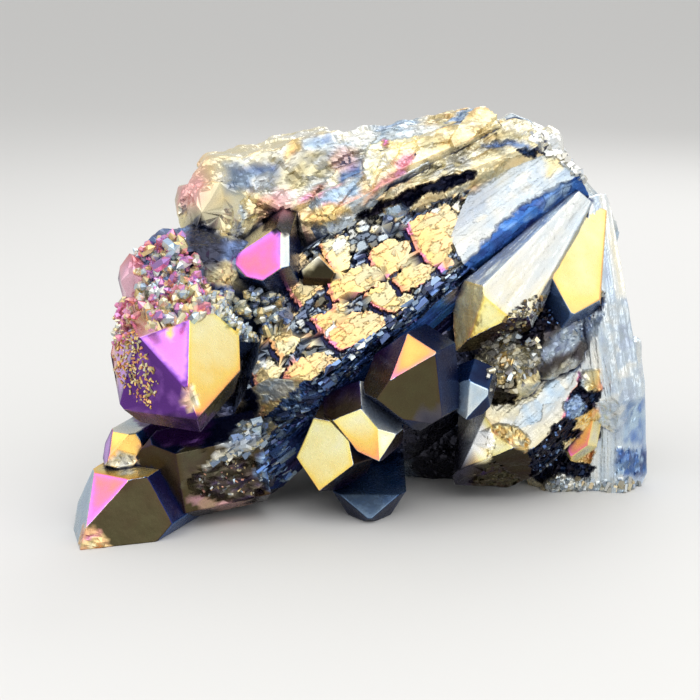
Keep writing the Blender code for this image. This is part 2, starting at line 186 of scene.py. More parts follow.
def crystalSolid(shape):
    tip, root, axis, planes = crystalPlanes(shape)
    reach, length = 2.0 * max(shape["sides"]), (tip - root).length
    bm = bmesh.new()
    bmesh.ops.create_cone(
        bm, cap_ends=True, segments=6, radius1=reach, radius2=reach, depth=length + reach,
        matrix=standing(root + axis * (length + reach) / 2, axis))
    for _, place, normal in planes:
        sliceOff(bm, place, normal)
    sliceOff(bm, Vector(), down)
    trimToArc(bm)
    bmesh.ops.recalc_face_normals(bm, faces=bm.faces[:])
    return bm, axis, planes


def softenEdges(bm, width):
    bmesh.ops.dissolve_degenerate(bm, dist=shortestEdge, edges=bm.edges[:])
    bmesh.ops.bevel(
        bm, geom=bm.edges[:], offset=width, segments=2, profile=0.5, affect="EDGES", material=-1,
        clamp_overlap=True)


# rounds of cutting, how near the skin a place shows, how far behind what is seen it still counts as
# seen, and how much coarser the unseen and the quickly drawn may be
fineness = {"turns": 14, "near": 0.8, "behind": 2.4, "unseen": 2.0, "quick": 1.6}


def showsAt(place, reach):  # 0 buried, 1 on the outside, 2 where the front view reaches
    if skin.find_nearest(place, reach)[0] is None:
        return 0
    away = place - eye
    hit = skin.ray_cast(eye, away.normalized())
    return 2 if hit[0] is not None and hit[3] > away.length - fineness["behind"] else 1


def refine(bm, longest):  # only what shows is made fine
    longest *= 1.0
    bmesh.ops.triangulate(bm, faces=bm.faces[:])
    for _ in range(fineness["turns"]):
        tooLong = []
        for edge in bm.edges:
            a, b = edge.verts[0].co, edge.verts[1].co
            span = (a - b).length
            if span <= longest:
                continue
            shows = showsAt((a + b) / 2, max(fineness["near"], span / 2))
            if shows == 2 or (shows == 1 and span > longest * fineness["unseen"]):
                tooLong.append(edge)
        if not tooLong:
            break
        bmesh.ops.subdivide_edges(bm, edges=tooLong, cuts=1)
        bmesh.ops.triangulate(bm, faces=[face for face in bm.faces if len(face.verts) > 3])


def faceReach(bm, planes, axis):  # how far each flat face runs along its own gradient
    reaches = {}
    for name, place, normal in planes:
        way = axis if name[0] == "s" else Vector((0, 0, 1))
        way = (way - normal * way.dot(normal)).normalized()
        spots = [v.co.dot(way) for v in bm.verts if abs((v.co - place).dot(normal)) < onFace]
        if spots and max(spots) > min(spots):
            reaches[name] = (way, min(spots), max(spots))
    return reaches


# a thicker film runs along every edge, brightened by a painted highlight
rim = {"width": 0.28, "thick": 0.10, "thin": 0.03, "light": 0.25}


def paintCrystal(bm, planes, reaches, look, pale):
    film, shade, cover, coverColour = coatLayers(bm.verts.layers)
    for vert in bm.verts:
        depths = sorted((-(vert.co - place).dot(normal), name) for name, place, normal in planes)
        name, nextDepth = depths[0][1], depths[1][0]
        high, low, light, *own = look.get(name, look["rest"])
        share = 0.5
        if name in reaches:
            way, start, end = reaches[name]
            share = min(1.0, max(0.0, (vert.co.dot(way) - start) / (end - start)))
        edge = math.exp(-max(0.0, nextDepth) / rim["width"])
        thick = low + (high - low) * share
        # near an edge the film thickens and the shade rises: a painted highlight
        vert[film] = thick + edge * (rim["thick"] if thick > 0.5 else rim["thin"])
        vert[shade] = light * (1.0 + rim["light"] * edge)
        vert[cover] = own[0] if own else pale
        vert[coverColour] = paleQuartz * vert[cover]


# a second, finer set of streaks lies over the first
streaks = {"second": 0.4, "narrower": 0.35, "shorter": 0.5, "slope": 0.25}


def streak(place, axis, width, length, terraces=3.0):
    along = axis * place.dot(axis)
    aside = place - along
    value = noise.noise(aside / width + along / length)
    value += streaks["second"] * noise.noise(
        aside / (width * streaks["narrower"]) + along / (length * streaks["shorter"]))
    step = math.floor(value * terraces) / terraces
    return step + streaks["slope"] * (value - step)


# each cell's own numbers come from noise at its seed, times one of these
dice = {"lean": 9.7, "height": 5.1, "film": 3.3, "shade": 7.7, "tone": 4.9}
crumbs = {"lean": 1.6, "height": 0.8}


def crumb(place, axis, size, stretch):  # a flat, tilted break in each cell
    spot = (place - axis * place.dot(axis) * (1.0 - 1.0 / stretch)) / size
    seed = noise.voronoi(spot)[1][0]
    slope = (spot - seed).dot(noise.noise_vector(seed * dice["lean"])) * crumbs["lean"]
    return slope + noise.noise(seed * dice["height"]) * crumbs["height"], seed


# painted shade: recesses are dimmed; their dark blue is the coating's own colour there
# recesses go dark; openness is felt with rings of rays: how far each ring leans, and its count
recessShade = {
    "rings": ((0.35, 4), (0.95, 8)), "reach": 8.0, "start": 0.35, "outside": 2.5,
    "open": 0.72, "blend": 0.55, "film": 0.25, "dim": 0.7, "deep": 0.75}
ringOfRays = [
    Vector((math.cos(turn) * math.sin(lean), math.sin(turn) * math.sin(lean), math.cos(lean)))
    for lean, count in recessShade["rings"] for turn in [math.tau * n / count for n in range(count)]]


def openness(place, normal):  # 1 in the open, towards 0 in a recess
    turn = normal.to_track_quat("Z", "Y")
    shut = 0.0
    for ray in ringOfRays:
        way = turn @ ray
        hit = massTree.ray_cast(place + normal * recessShade["start"], way, recessShade["reach"])
        if hit[0] is not None:
            shut += 1.0 if hit[1].dot(way) > 0 else 1.0 - hit[3] / recessShade["reach"]
    return 1.0 - shut / len(ringOfRays)


# painted shade in recesses: the more the rays are shut in, the more the colour goes dark blue and dims
def paintRecessShade(bm, coat):
    for vert in bm.verts:
        near = skin.find_nearest(vert.co, recessShade["outside"])[0] is not None
        free = openness(vert.co, vert.normal) if near else 0.0
        shut = min(1.0, max(0.0, (recessShade["open"] - free) / recessShade["blend"]))
        if shut > 0.0:
            dim = vert[coat[1]] * (1.0 - recessShade["dim"] * shut)
            lay(vert, coat, filmColour(recessShade["film"]), dim, shut * recessShade["deep"])


def lay(vert, coat, colour, light, share=1.0):  # a colour over the film, mixed in by share
    _, shade, cover, coverColour = coat
    vert[shade] += (light - vert[shade]) * share
    vert[cover] += (1.0 - vert[cover]) * share
    vert[coverColour] = vert[coverColour] * (1.0 - share) + colour * share


tintEdge = {"facing": -0.05, "wander": 0.18, "grain": 0.9}


def applyTints(bm, coat):
    for vert in bm.verts:
        if vert.normal.dot(aheadWay) > tintEdge["facing"]:
            continue
        x, y = sight(vert.co)
        for tint in tints.values():
            dx, dy = x - tint["at"][0], y - tint["at"][1]
            reach = max(tint["size"])
            if abs(dx) > reach or abs(dy) > reach:
                continue
            turn = math.radians(tint.get("turn", 0))
            u = (dx * math.cos(turn) + dy * math.sin(turn)) / tint["size"][0]
            v = (dy * math.cos(turn) - dx * math.sin(turn)) / tint["size"][1]
            away = math.hypot(u, v) + tintEdge["wander"] * noise.noise(vert.co * tintEdge["grain"])
            share = min(tint.get("most", 1.0), max(0.0, (1.0 - away) / tint.get("soft", 0.35)))
            lay(vert, coat, filmColour(tint["film"], tint.get("pale", 0.2)), tint["shade"], share)


def boxOf(outline):
    xs, ys = [x for x, _ in outline], [y for _, y in outline]
    return min(xs), min(ys), max(xs), max(ys)


def edgeDistance(spot, outline):
    x, y = spot
    least = math.inf
    for number, (ax, ay) in enumerate(outline):
        bx, by = outline[number - 1]
        share = ((x - ax) * (bx - ax) + (y - ay) * (by - ay)) / ((bx - ax) ** 2 + (by - ay) ** 2)
        share = min(1.0, max(0.0, share))
        least = min(least, math.hypot(ax + (bx - ax) * share - x, ay + (by - ay) * share - y))
    return least


# what every facet has unless it says otherwise, then what all of them share
plainFacet = {"pale": 0.2, "rough": 0.3, "crumb": 1.3, "lift": 0.0, "tilt": 0.10, "soft": 0.2}
facetEdge = {
    "facing": -0.02, "stray": (0.7, 0.5), "fray": (2.3, 0.22), "axis": Vector((0.8, 0.1, 0.6)),
    "stretch": 1.6, "even": 0.05, "spread": 0.10, "drift": (0.8, 0.05), "relief": 0.35, "slope": 3.0}


def strayOf(place, wave):
    scale, amount = wave
    return noise.noise_vector(place * scale) * amount


def applyFacets(moves, coat, facets):  # flat patches with broken edges, as seen from the front
    patches = [({**plainFacet, **facet}, boxOf(facet["outline"])) for facet in facets.values()]
    driftScale, drift = facetEdge["drift"]
    for move in moves:
        vert = move[0]
        if vert.normal.dot(aheadWay) > facetEdge["facing"]:
            continue
        x, y = sight(vert.co)
        stray = strayOf(vert.co, facetEdge["stray"]) + strayOf(vert.co, facetEdge["fray"])
        x, y = x + stray.x, y + stray.y
        for facet, (left, bottom, right, top) in patches:
            if not (left < x < right and bottom < y < top and inside((x, y), facet["outline"])):
                continue
            cover = min(1.0, edgeDistance((x, y), facet["outline"]) / facet["soft"])
            along, rough = (x - left) / (right - left), facet["rough"]
            thick = facet["film"] + (facet.get("end", facet["film"]) - facet["film"]) * along
            height, seed = crumb(vert.co, facetEdge["axis"], facet["crumb"], facetEdge["stretch"])
            thick += (facetEdge["even"] + facetEdge["spread"] * rough) * noise.noise(seed * dice["film"])
            thick += drift * noise.noise(vert.co * driftScale)
            light = facet["shade"] * (1.0 + rough * noise.noise(seed * dice["shade"]))
            lay(vert, coat, filmColour(thick, facet["pale"]), light, cover)
            lean = noise.noise_vector(Vector((left, top, facetEdge["slope"])))
            tilt = ((x - left) * lean.x + (y - bottom) * lean.y) * facet["tilt"]
            move[1] -= aheadWay * cover * (facet["lift"] + tilt + height * rough * facetEdge["relief"])


# cracked blocks and plates: how they stray, and how a plate is coloured, lit, cracked and edged
tileEdge = {
    "warp": (0.8, 0.3), "stray": (1.6, 0.35), "facing": 0.7, "sample": 4.0, "rimWidth": 0.5, "rimFilm": 0.14,
    "creviceWidth": 0.45, "creviceFilm": 0.21, "creviceShade": 0.3, "creviceDepth": 0.3,
    "blockFilm": 0.7, "slopeFilm": 0.6, "pale": 0.34, "lessPale": 0.3, "light": 0.2, "crackLight": 0.55,
    "crackMore": 0.4, "crackDepth": 0.07, "bump": 0.06, "oddShare": 0.93, "oddFilm": 0.48}
fragmentEdge = {  # the small blocks between the plates
    "sideFilm": 0.12, "side": -0.3, "least": 0.7, "more": 0.6, "gapFilm": 0.26, "gapDim": 0.6,
    "slope": 0.12, "pick": 0.999}
tileDice = {"block": 37.0, "odd": 17.0, "film": 91.0, "shade": 53.0, "height": 71.0}


def tileAt(place, frameOfRib, plan):  # the way from the block's seed, the seed, the gap
    start, along, across, outward = frameOfRib
    flat = place - start
    spot = Vector((flat.dot(along) / plan["long"], flat.dot(across) / plan["wide"], 0.0))
    spot += strayOf(spot, tileEdge["warp"])
    distances, seeds = noise.voronoi(spot, distance_metric="CHEBYCHEV")
    return spot - seeds[0], seeds[0], min(1.0, (distances[1] - distances[0]) / plan["crack"])


def layTiles(vert, coat, frameOfRib, plan):
    start, along, across, outward = frameOfRib
    x, y = sight(vert.co)
    if vert.normal.dot(outward) < tileEdge["facing"] or not inside((x, y), plan["outline"]):
        return 0.0
    offset, seed, gap = tileAt(vert.co, frameOfRib, plan)
    stray = strayOf(vert.co, tileEdge["stray"])
    x, y = x + stray.x, y + stray.y
    ax, ay = sight(start)
    bx, by = sight(start - along * tileEdge["sample"])
    reach = math.hypot(bx - ax, by - ay)
    endX, endY = (bx - ax) / reach, (by - ay) / reach  # towards the free end, as seen
    for plate in plan.get("plates", ()):
        if inside((x, y), plate["outline"]):
            return layPlate(vert, coat, plan, plate, (x, y), (endX, endY), seed, gap)
        # painted shadow: the strip just beyond a plate's free end is dark
        width = tileEdge["creviceWidth"]
        if inside((x - endX * width, y - endY * width), plate["outline"]):
            lay(vert, coat, filmColour(tileEdge["creviceFilm"]), tileEdge["creviceShade"])
            return -tileEdge["creviceDepth"]
    block = noise.cell(seed * tileDice["block"])
    choice = plan["films"][int(block * fragmentEdge["pick"] * len(plan["films"]))]
    thick = choice + plan["spread"] * (noise.cell(seed * tileDice["film"]) - 0.5)
    thick += fragmentEdge["sideFilm"] if offset.x < fragmentEdge["side"] else 0.0
    light = fragmentEdge["least"] + fragmentEdge["more"] * noise.cell(seed * tileDice["shade"])
    light *= plan["shade"]
    dark = 1.0 - gap
    colour = filmColour(thick, plan["pale"]).lerp(filmColour(fragmentEdge["gapFilm"]), dark)
    lay(vert, coat, colour, light * (1.0 - fragmentEdge["gapDim"] * dark))
    height = noise.cell(seed * tileDice["height"]) - 0.5 - fragmentEdge["gapDim"] * dark
    return plan["depth"] * height - fragmentEdge["slope"] * offset.x


def layPlate(vert, coat, plan, plate, spot, endWay, seed, gap):
    left, bottom, right, top = boxOf(plate["outline"])
    (x, y), (endX, endY) = spot, endWay
    block = noise.cell(seed * tileDice["block"])
    ahead = ((x - left) * endX + (y - bottom) * endY) / max(right - left, top - bottom)
    nearEnd = min(1.0, max(0.0, 1.0 + ahead))
    thick = plate["film"] + plan["spread"] * (
        tileEdge["blockFilm"] * (block - 0.5) + tileEdge["slopeFilm"] * (nearEnd - 0.5))
    if not inside((x + endX * tileEdge["rimWidth"], y + endY * tileEdge["rimWidth"]), plate["outline"]):
        thick += tileEdge["rimFilm"]
    if noise.cell(seed * tileDice["odd"]) > tileEdge["oddShare"]:
        thick = tileEdge["oddFilm"]
    gap = min(1.0, gap * 2.0)
    light = 1.0 + tileEdge["light"] * (block - 0.5)
    light *= tileEdge["crackLight"] + tileEdge["crackMore"] * gap
    lay(vert, coat, filmColour(thick, tileEdge["pale"] - tileEdge["lessPale"] * nearEnd), light)
    relief = tileEdge["bump"] * (block - 0.5) - tileEdge["crackDepth"] * (1.0 - gap)
    return plan["rise"] * (1.0 + ahead) + relief


# the bands of colour are wider than the streaks and don't run with them
bands = {"shift": 31.0, "wider": 2, "terraces": 5.0}
breakStretch = 2.0
waveLength = 2.2


def relieve(bm, axis, grain, facets, tiles=()):
    coat = coatOf(bm.verts.layers)
    film, shade = coat[:2]
    bm.normal_update()
    moves = []
    for vert in bm.verts:
        lift, place = 0.0, vert.co.copy()
        if grain.get("streaks"):
            lift += streak(place, axis, grain["width"], grain["length"]) * grain["streaks"]
            wide = grain["width"] * bands["wider"]
            tone = streak(place + axis * bands["shift"], axis, wide, grain["length"], bands["terraces"])
            vert[film] += tone * grain.get("bands", 0.0)
        if grain.get("breaks"):
            height, seed = crumb(place, axis, grain["breakSize"], breakStretch)
            lift += height * grain["breaks"]
            vert[film] += noise.noise(seed * dice["tone"]) * grain["tones"]
        if grain.get("crumbs"):
            height, seed = crumb(place, axis, grain["size"], grain.get("stretch", 1.0))
            lift += height * grain["crumbs"]
            vert[film] += noise.noise(seed * dice["film"]) * grain.get("glitter", 0.0)
            vert[shade] *= 1.0 + noise.noise(seed * dice["shade"]) * grain.get("sparkle", 0.0)
        lift += noise.fractal(place / waveLength, 1.0, 2.0, 3) * grain.get("wave", 0.02)
        moves.append([vert, vert.normal * lift])
    applyFacets(moves, coat, facets)
    applyTints(bm, coat)
    for frameOfRib, plan in tiles:
        outward = frameOfRib[-1]
        for move in moves:
            move[1] += outward * layTiles(move[0], coat, frameOfRib, plan)
    paintRecessShade(bm, coat)
    for vert, move in moves:
        vert.co += move
        vert.co.z = max(vert.co.z, 0.0)


def toObject(bm, name):
    mesh = bpy.data.meshes.new(name)
    bmesh.ops.translate(bm, verts=bm.verts[:], vec=-boxMiddle)
    bmesh.ops.scale(bm, verts=bm.verts[:], vec=(mm, mm, mm))
    bm.to_mesh(mesh)
    bm.free()
    made = bpy.data.objects.new(name, mesh)
    bpy.context.scene.collection.objects.link(made)
    return made


def joined(parts, name):
    with bpy.context.temp_override(
            active_object=parts[0], selected_editable_objects=parts, selected_objects=parts):
        bpy.ops.object.join()
    parts[0].name = parts[0].data.name = name
    print(name, len(parts[0].data.polygons), "faces")
    return parts[0]


def ribFrame(shape, side):
    tip, root, axis, planes = crystalPlanes(shape)
    outward = {name: normal for name, _, normal in planes}[f"s{side}"]
    toRoot = (root - tip).normalized()
    toRoot = (toRoot - outward * toRoot.dot(outward)).normalized()
    return tip + outward * shape["sides"][side], toRoot, outward.cross(toRoot), outward


def growCrystals(shapes, name, fine, bevel, facets):
    parts = []
    for shape in shapes.values():
        bm, axis, planes = crystalSolid(shape)
        reaches = faceReach(bm, planes, axis)
        softenEdges(bm, shape.get("bevel", bevel))
        refine(bm, shape.get("fine", fine))
        paintCrystal(bm, planes, reaches, shape["look"], shape.get("pale", 0.0))
        tiles = [(ribFrame(shape, side), plan) for side, plan in shape.get("tiles", {}).items()]
        relieve(bm, axis, shape.get("grain", {}), {} if shape.get("clean") else facets, tiles)
        parts.append(toObject(bm, f"{name}_{len(parts)}"))
    return joined(parts, name)


# soft patches of another film on what faces the front: middle, half sizes and turn as seen
tints = {
    # painted shade under the rose point and in the hollow left of it
    "underRose": {"at": (-11.6, 6.6), "size": (4.4, 1.7), "film": 0.25, "shade": 0.4, "soft": 0.5},
    "leftHollowShade": {"at": (-17.6, 12.2), "size": (3.2, 3.2), "film": 0.24, "shade": 0.22, "soft": 0.5},
    "hump": {
        "at": (-27.0, 7.9), "size": (2.7, 4.4), "turn": 20, "film": 0.86, "shade": 0.85, "soft": 0.6,
        "pale": 0.55},
    "roseGlow": {
        "at": (-19.7, 19.5), "size": (2.9, 3.7), "turn": -30, "film": 0.84, "shade": 0.85, "soft": 0.9,
        "pale": 0.4, "most": 0.65},
    "edgeGlow": {
        "at": (-8.3, 17.6), "size": (1.9, 2.7), "film": 0.84, "shade": 0.85, "soft": 0.9, "pale": 0.4,
        "most": 0.6},
    "centreGlow": {
        "at": (-0.6, 23.1), "size": (2.2, 1.9), "film": 0.85, "shade": 0.75, "soft": 1.0, "pale": 0.35,
        "most": 0.45},
    "cornerGlow": {
        "at": (6.7, 23.1), "size": (1.9, 1.0), "turn": 40, "film": 0.86, "shade": 0.95, "soft": 0.8,
        "most": 0.7},
    "blueGlow": {
        "at": (14.4, 17.3), "size": (5.1, 1.9), "turn": 45, "film": 0.36, "shade": 0.6, "soft": 0.9,
        "pale": 0.35, "most": 0.5},
    "lowerShadow": {"at": (10.7, -12.8), "size": (4.9, 6.3), "film": 0.2, "shade": 0.12, "soft": 0.4},
    "redWall": {
        "at": (12.8, 7.1), "size": (2.4, 1.0), "turn": 45, "film": 0.13, "shade": 0.8, "soft": 0.7}}

# flat patches with broken edges on the ribs: outline as seen, film (and at the right end), shade
facets = {
    "roseShoulder": {
        "outline": ((-22.4, 17.3), (-20.0, 22.8), (-18.3, 23.6), (-15.7, 23.4), (-15.6, 20.2),
            (-17.5, 17.5), (-20.9, 16.5)),
        "film": 0.79, "end": 0.64, "shade": 0.85, "pale": 0.42, "rough": 0.15, "lift": 0.2, "soft": 1.2},
    "blueTop": {
        "outline": ((-15.7, 23.1), (-8.0, 23.6), (-8.5, 19.2), (-12.3, 18.7), (-15.6, 19.0)),
        "film": 0.37, "end": 0.35, "shade": 0.55, "pale": 0.25, "rough": 0.15, "soft": 1.3},
    "whiteGrains": {
        "outline": ((-12.5, 21.0), (-9.5, 21.8), (-8.9, 19.6), (-11.9, 19.1)),
        "film": 0.45, "shade": 0.8, "pale": 0.64, "rough": 0.6, "lift": 0.3, "crumb": 0.7, "soft": 0.6},
    "creamLumps": {
        "outline": ((-17.8, 17.8), (-15.9, 19.2), (-12.3, 19.2), (-11.9, 13.9), (-14.7, 12.9),
            (-17.5, 14.6)),
        "film": 0.58, "end": 0.55, "shade": 0.8, "pale": 0.3, "rough": 0.35, "lift": 0.2, "soft": 0.8},
    "paleStreak": {
        "outline": ((-13.5, 17.9), (-12.5, 17.9), (-12.9, 14.8), (-13.7, 14.6)),
        "film": 0.42, "shade": 0.73, "pale": 0.23, "rough": 0.1, "soft": 0.5},
    "beigeRose": {
        "outline": ((-12.0, 19.1), (-8.4, 19.2), (-7.8, 17.4), (-8.3, 15.7), (-10.3, 15.1),
            (-11.9, 14.7)),
        "film": 0.66, "end": 0.82, "shade": 0.73, "pale": 0.35, "rough": 0.2, "lift": 0.1, "soft": 0.9},
    "roughCream": {
        "outline": ((-8.2, 22.4), (-5.5, 24.3), (1.8, 25.3), (2.3, 23.0), (0.5, 21.7), (-3.0, 20.4),
            (-5.8, 19.0), (-7.9, 18.7)),
        "film": 0.57, "end": 0.5, "shade": 0.55, "pale": 0.25, "rough": 0.5, "crumb": 1.0, "soft": 1.0},
    "cornerGold": {
        "outline": ((-8.6, 23.4), (-7.3, 25.7), (-5.7, 25.7), (-5.4, 24.1), (-8.0, 22.3)),
        "film": 0.67, "shade": 0.73, "pale": 0.23, "lift": 0.2, "soft": 0.6},
    "blueLedge": {
        "outline": ((-6.0, 25.8), (-2.2, 26.5), (-1.8, 24.3), (-5.6, 24.1)),
        "film": 0.4, "shade": 0.69, "pale": 0.23, "rough": 0.25, "soft": 0.8},
    "creamBlock": {
        "outline": ((-2.3, 26.6), (2.2, 27.5), (2.4, 25.7), (-1.6, 24.9)),
        "film": 0.54, "end": 0.5, "shade": 1.15, "pale": 0.51, "rough": 0.2, "lift": 0.3, "soft": 0.5},
    "lilacLedge": {
        "outline": ((2.3, 27.4), (8.8, 29.7), (8.6, 26.9), (4.6, 25.3), (2.4, 25.6)),
        "film": 0.41, "end": 0.45, "shade": 0.73, "pale": 0.25, "rough": 0.4, "soft": 0.8},
    "darkDip": {
        "outline": ((0.2, 22.9), (2.1, 23.5), (1.9, 20.6), (-1.1, 19.7), (-2.1, 20.9)),
        "film": 0.33, "shade": 0.5, "pale": 0.12, "rough": 0.2, "lift": -0.4, "soft": 0.8},
    "blueFace": {
        "outline": ((-4.1, 18.9), (1.7, 21.7), (1.6, 18.5), (-1.8, 17.6), (-5.4, 17.3)),
        "film": 0.41, "shade": 0.73, "rough": 0.15, "lift": 0.1, "soft": 0.7},
    "roseRidge": {
        "outline": ((-6.9, 17.3), (-5.8, 19.1), (-3.0, 20.7), (-2.6, 19.6), (-5.1, 17.6)),
        "film": 0.85, "end": 0.8, "shade": 0.82, "pale": 0.3, "rough": 0.4, "lift": 0.4, "soft": 0.7},
    "orangeSlab": {
        "outline": ((-6.8, 16.1), (-3.0, 17.8), (0.5, 17.9), (0.6, 16.5), (-3.5, 14.8), (-6.1, 15.2)),
        "film": 0.65, "shade": 0.9, "rough": 0.15, "lift": 0.3, "soft": 0.6},
    "yellowFace": {
        "outline": ((1.6, 21.7), (1.9, 24.7), (3.8, 25.6), (8.4, 25.8), (8.0, 23.4), (4.1, 22.1),
            (2.2, 19.2)),
        "film": 0.515, "end": 0.6, "shade": 1.0, "pale": 0.1, "rough": 0.2, "lift": 0.5, "tilt": 0.14,
        "soft": 0.3},
    "roseDot": {
        "outline": ((3.7, 25.4), (4.6, 25.7), (5.0, 24.7), (4.0, 24.5)),
        "film": 0.86, "shade": 0.86, "pale": 0.15, "lift": 0.5},
    "rosySlope": {
        "outline": ((8.3, 24.1), (6.9, 21.4), (3.8, 19.3), (1.7, 17.3), (0.9, 17.6), (2.9, 20.3),
            (6.1, 23.1)),
        "film": 0.72, "end": 0.86, "shade": 0.82, "pale": 0.3, "rough": 0.4, "lift": 0.2, "soft": 0.6},
    "beigeGrains": {
        "outline": ((3.7, 19.2), (7.3, 21.7), (12.4, 24.3), (15.6, 24.3), (14.8, 22.1), (9.7, 20.4),
            (5.8, 18.7), (3.9, 17.5)),
        "film": 0.58, "end": 0.52, "shade": 0.61, "pale": 0.25, "rough": 0.6, "crumb": 0.8, "soft": 0.8},
    "oliveTop": {
        "outline": ((8.5, 28.5), (12.0, 30.2), (14.6, 30.2), (16.3, 28.2), (12.0, 26.4), (9.0, 27.1)),
        "film": 0.63, "end": 0.64, "shade": 0.55, "pale": 0.23, "rough": 0.4, "soft": 0.8},
    "yellowRidge": {
        "outline": ((8.3, 25.6), (9.0, 27.1), (12.0, 26.4), (14.6, 27.3), (13.6, 25.6), (11.0, 24.1),
            (8.3, 23.6)),
        "film": 0.58, "end": 0.6, "shade": 0.72, "pale": 0.23, "rough": 0.4, "lift": 0.2, "soft": 0.8},
    "blueStrip": {
        "outline": ((11.2, 28.0), (14.1, 29.2), (15.8, 29.2), (13.3, 27.4)),
        "film": 0.39, "shade": 0.69},
    "orangeCap": {
        "outline": ((12.0, 28.8), (12.5, 30.4), (14.6, 30.4), (14.4, 29.2)),
        "film": 0.68, "shade": 0.73},
    "beigeWedge": {
        "outline": ((14.1, 26.6), (16.5, 27.6), (19.3, 27.3), (22.1, 25.8), (20.4, 24.7), (15.7, 25.3)),
        "film": 0.68, "end": 0.54, "shade": 0.64, "pale": 0.25, "lift": 0.2, "soft": 0.8},
    "beigeRough": {
        "outline": ((11.9, 25.3), (19.3, 26.0), (19.8, 23.7), (17.3, 23.2), (14.1, 24.1), (10.8, 23.4)),
        "film": 0.57, "shade": 0.53, "pale": 0.25, "rough": 0.5, "crumb": 0.9, "soft": 0.8},
    "blueCurve": {
        "outline": ((15.8, 25.2), (19.3, 25.8), (22.9, 24.9), (22.6, 24.0), (19.2, 24.6), (16.1, 24.3)),
        "film": 0.34, "shade": 0.6, "pale": 0.15, "rough": 0.2, "lift": -0.2, "soft": 0.5},
    # teal film, dimmed by painted shade in the notch
    "tealNotch": {
        "outline": ((20.0, 24.6), (22.6, 24.6), (22.9, 23.5), (21.4, 23.2)),
        "film": 0.29, "shade": 0.25, "pale": 0.05, "lift": -0.5},
    "goldWedge": {
        "outline": ((13.6, 18.3), (14.1, 20.7), (17.6, 23.1), (20.2, 23.5), (18.1, 21.3), (14.8, 18.5)),
        "film": 0.67, "end": 0.62, "shade": 0.61, "pale": 0.23, "rough": 0.4, "lift": 0.3, "soft": 0.6},
    "paleFlank": {
        "outline": ((11.7, 9.5), (12.2, 13.6), (13.6, 17.5), (15.8, 18.5), (19.7, 21.5), (23.2, 24.0),
            (25.6, 21.7), (25.1, 20.0), (20.7, 15.6), (15.8, 11.9)),
        "film": 0.47, "end": 0.45, "shade": 0.7, "pale": 0.5, "rough": 0.12, "tilt": 0.0, "soft": 0.9},
    "beigeStripes": {
        "outline": ((23.2, 24.1), (26.3, 24.3), (27.0, 23.6), (26.2, 21.7), (23.7, 20.4)),
        "film": 0.6, "shade": 0.73, "pale": 0.28, "soft": 0.8},
    "navyBand": {
        "outline": ((28.3, 21.7), (22.1, 18.7), (18.9, 16.3), (13.3, 10.3), (10.1, 7.2), (14.6, 7.1),
            (18.9, 10.7), (23.1, 14.4), (27.4, 18.5)),
        "film": 0.275, "end": 0.3, "shade": 0.9, "pale": 0.01, "lift": -0.2, "soft": 0.5},
    "brightBlue": {
        "outline": ((22.1, 17.9), (27.0, 21.2), (27.5, 19.5), (23.7, 16.3)),
        "film": 0.34, "end": 0.32, "shade": 0.7, "pale": 0.1, "rough": 0.5, "soft": 0.8},
    "rimWhite": {
        "outline": ((21.7, 28.0), (23.1, 27.1), (27.1, 25.1), (29.4, 22.6), (30.4, 19.7), (28.7, 20.9),
            (26.6, 22.9), (23.7, 25.1)),
        "film": 0.46, "shade": 1.2, "pale": 0.72, "rough": 0.5, "crumb": 0.8, "lift": 0.2},
    # painted shade: the slits are dark
    "slitLeft": {
        "outline": ((0.4, 16.3), (2.9, 17.5), (6.1, 19.2), (8.6, 20.0), (8.6, 18.5), (5.7, 17.6),
            (3.7, 16.7), (1.7, 15.9)),
        "film": 0.2, "shade": 0.12, "pale": 0.0, "lift": -0.9},
    "slitRight": {
        "outline": ((6.1, 18.9), (9.2, 20.3), (12.0, 21.5), (15.5, 22.0), (15.1, 20.9), (12.0, 19.6),
            (8.5, 18.5), (7.7, 17.3), (6.1, 16.8)),
        "film": 0.19, "end": 0.24, "shade": 0.14, "pale": 0.0, "lift": -0.9},
    "lilacKnob": {
        "outline": ((4.0, 15.6), (4.4, 17.0), (6.1, 17.9), (7.5, 17.4), (7.1, 16.1), (5.4, 14.4)),
        "film": 0.46, "end": 0.34, "shade": 0.77, "rough": 0.1, "lift": 0.6},
    # painted shade in the notch beside the rose point
    "notchShade": {
        "outline": ((-10.5, 15.6), (-9.0, 17.0), (-7.3, 17.5), (-6.2, 15.3), (-7.1, 12.9), (-8.5, 13.4)),
        "film": 0.17, "shade": 0.05, "pale": 0.0, "lift": -1.2},
    "greenStripe": {
        "outline": ((29.0, 18.5), (29.9, 18.3), (24.1, 7.1), (22.6, 5.8)),
        "film": 0.3, "shade": 0.45, "pale": 0.23, "rough": 0.2, "lift": -0.4},
    # painted shade in the hollow
    "hollowShade": {
        "outline": ((21.9, 5.1), (23.7, 6.4), (31.1, 7.3), (31.3, 4.9), (29.0, 4.1), (26.4, 3.8),
            (24.5, 2.3), (22.4, 0.0), (19.0, 1.9), (17.0, 1.6), (18.6, 3.5)),
        "film": 0.16, "end": 0.19, "shade": 0.1, "pale": 0.01, "rough": 1.0, "crumb": 0.5, "lift": -0.9,
        "soft": 0.6},
    # painted shade in the gap by the shoulder
    "shoulderGapShade": {
        "outline": ((-19.7, 15.6), (-18.7, 16.3), (-17.0, 15.1), (-15.6, 13.4), (-15.1, 11.4),
            (-15.6, 7.3), (-17.5, 6.8), (-18.4, 10.7), (-19.6, 12.2)),
        "film": 0.22, "end": 0.25, "shade": 0.1, "pale": 0.0, "rough": 0.5, "soft": 0.5, "tilt": 0.0},
    "endBlock": {
        "outline": ((-12.2, -2.7), (-10.2, -1.9), (-7.3, -2.9), (-6.1, -5.4), (-8.0, -6.3),
            (-10.7, -6.6)),
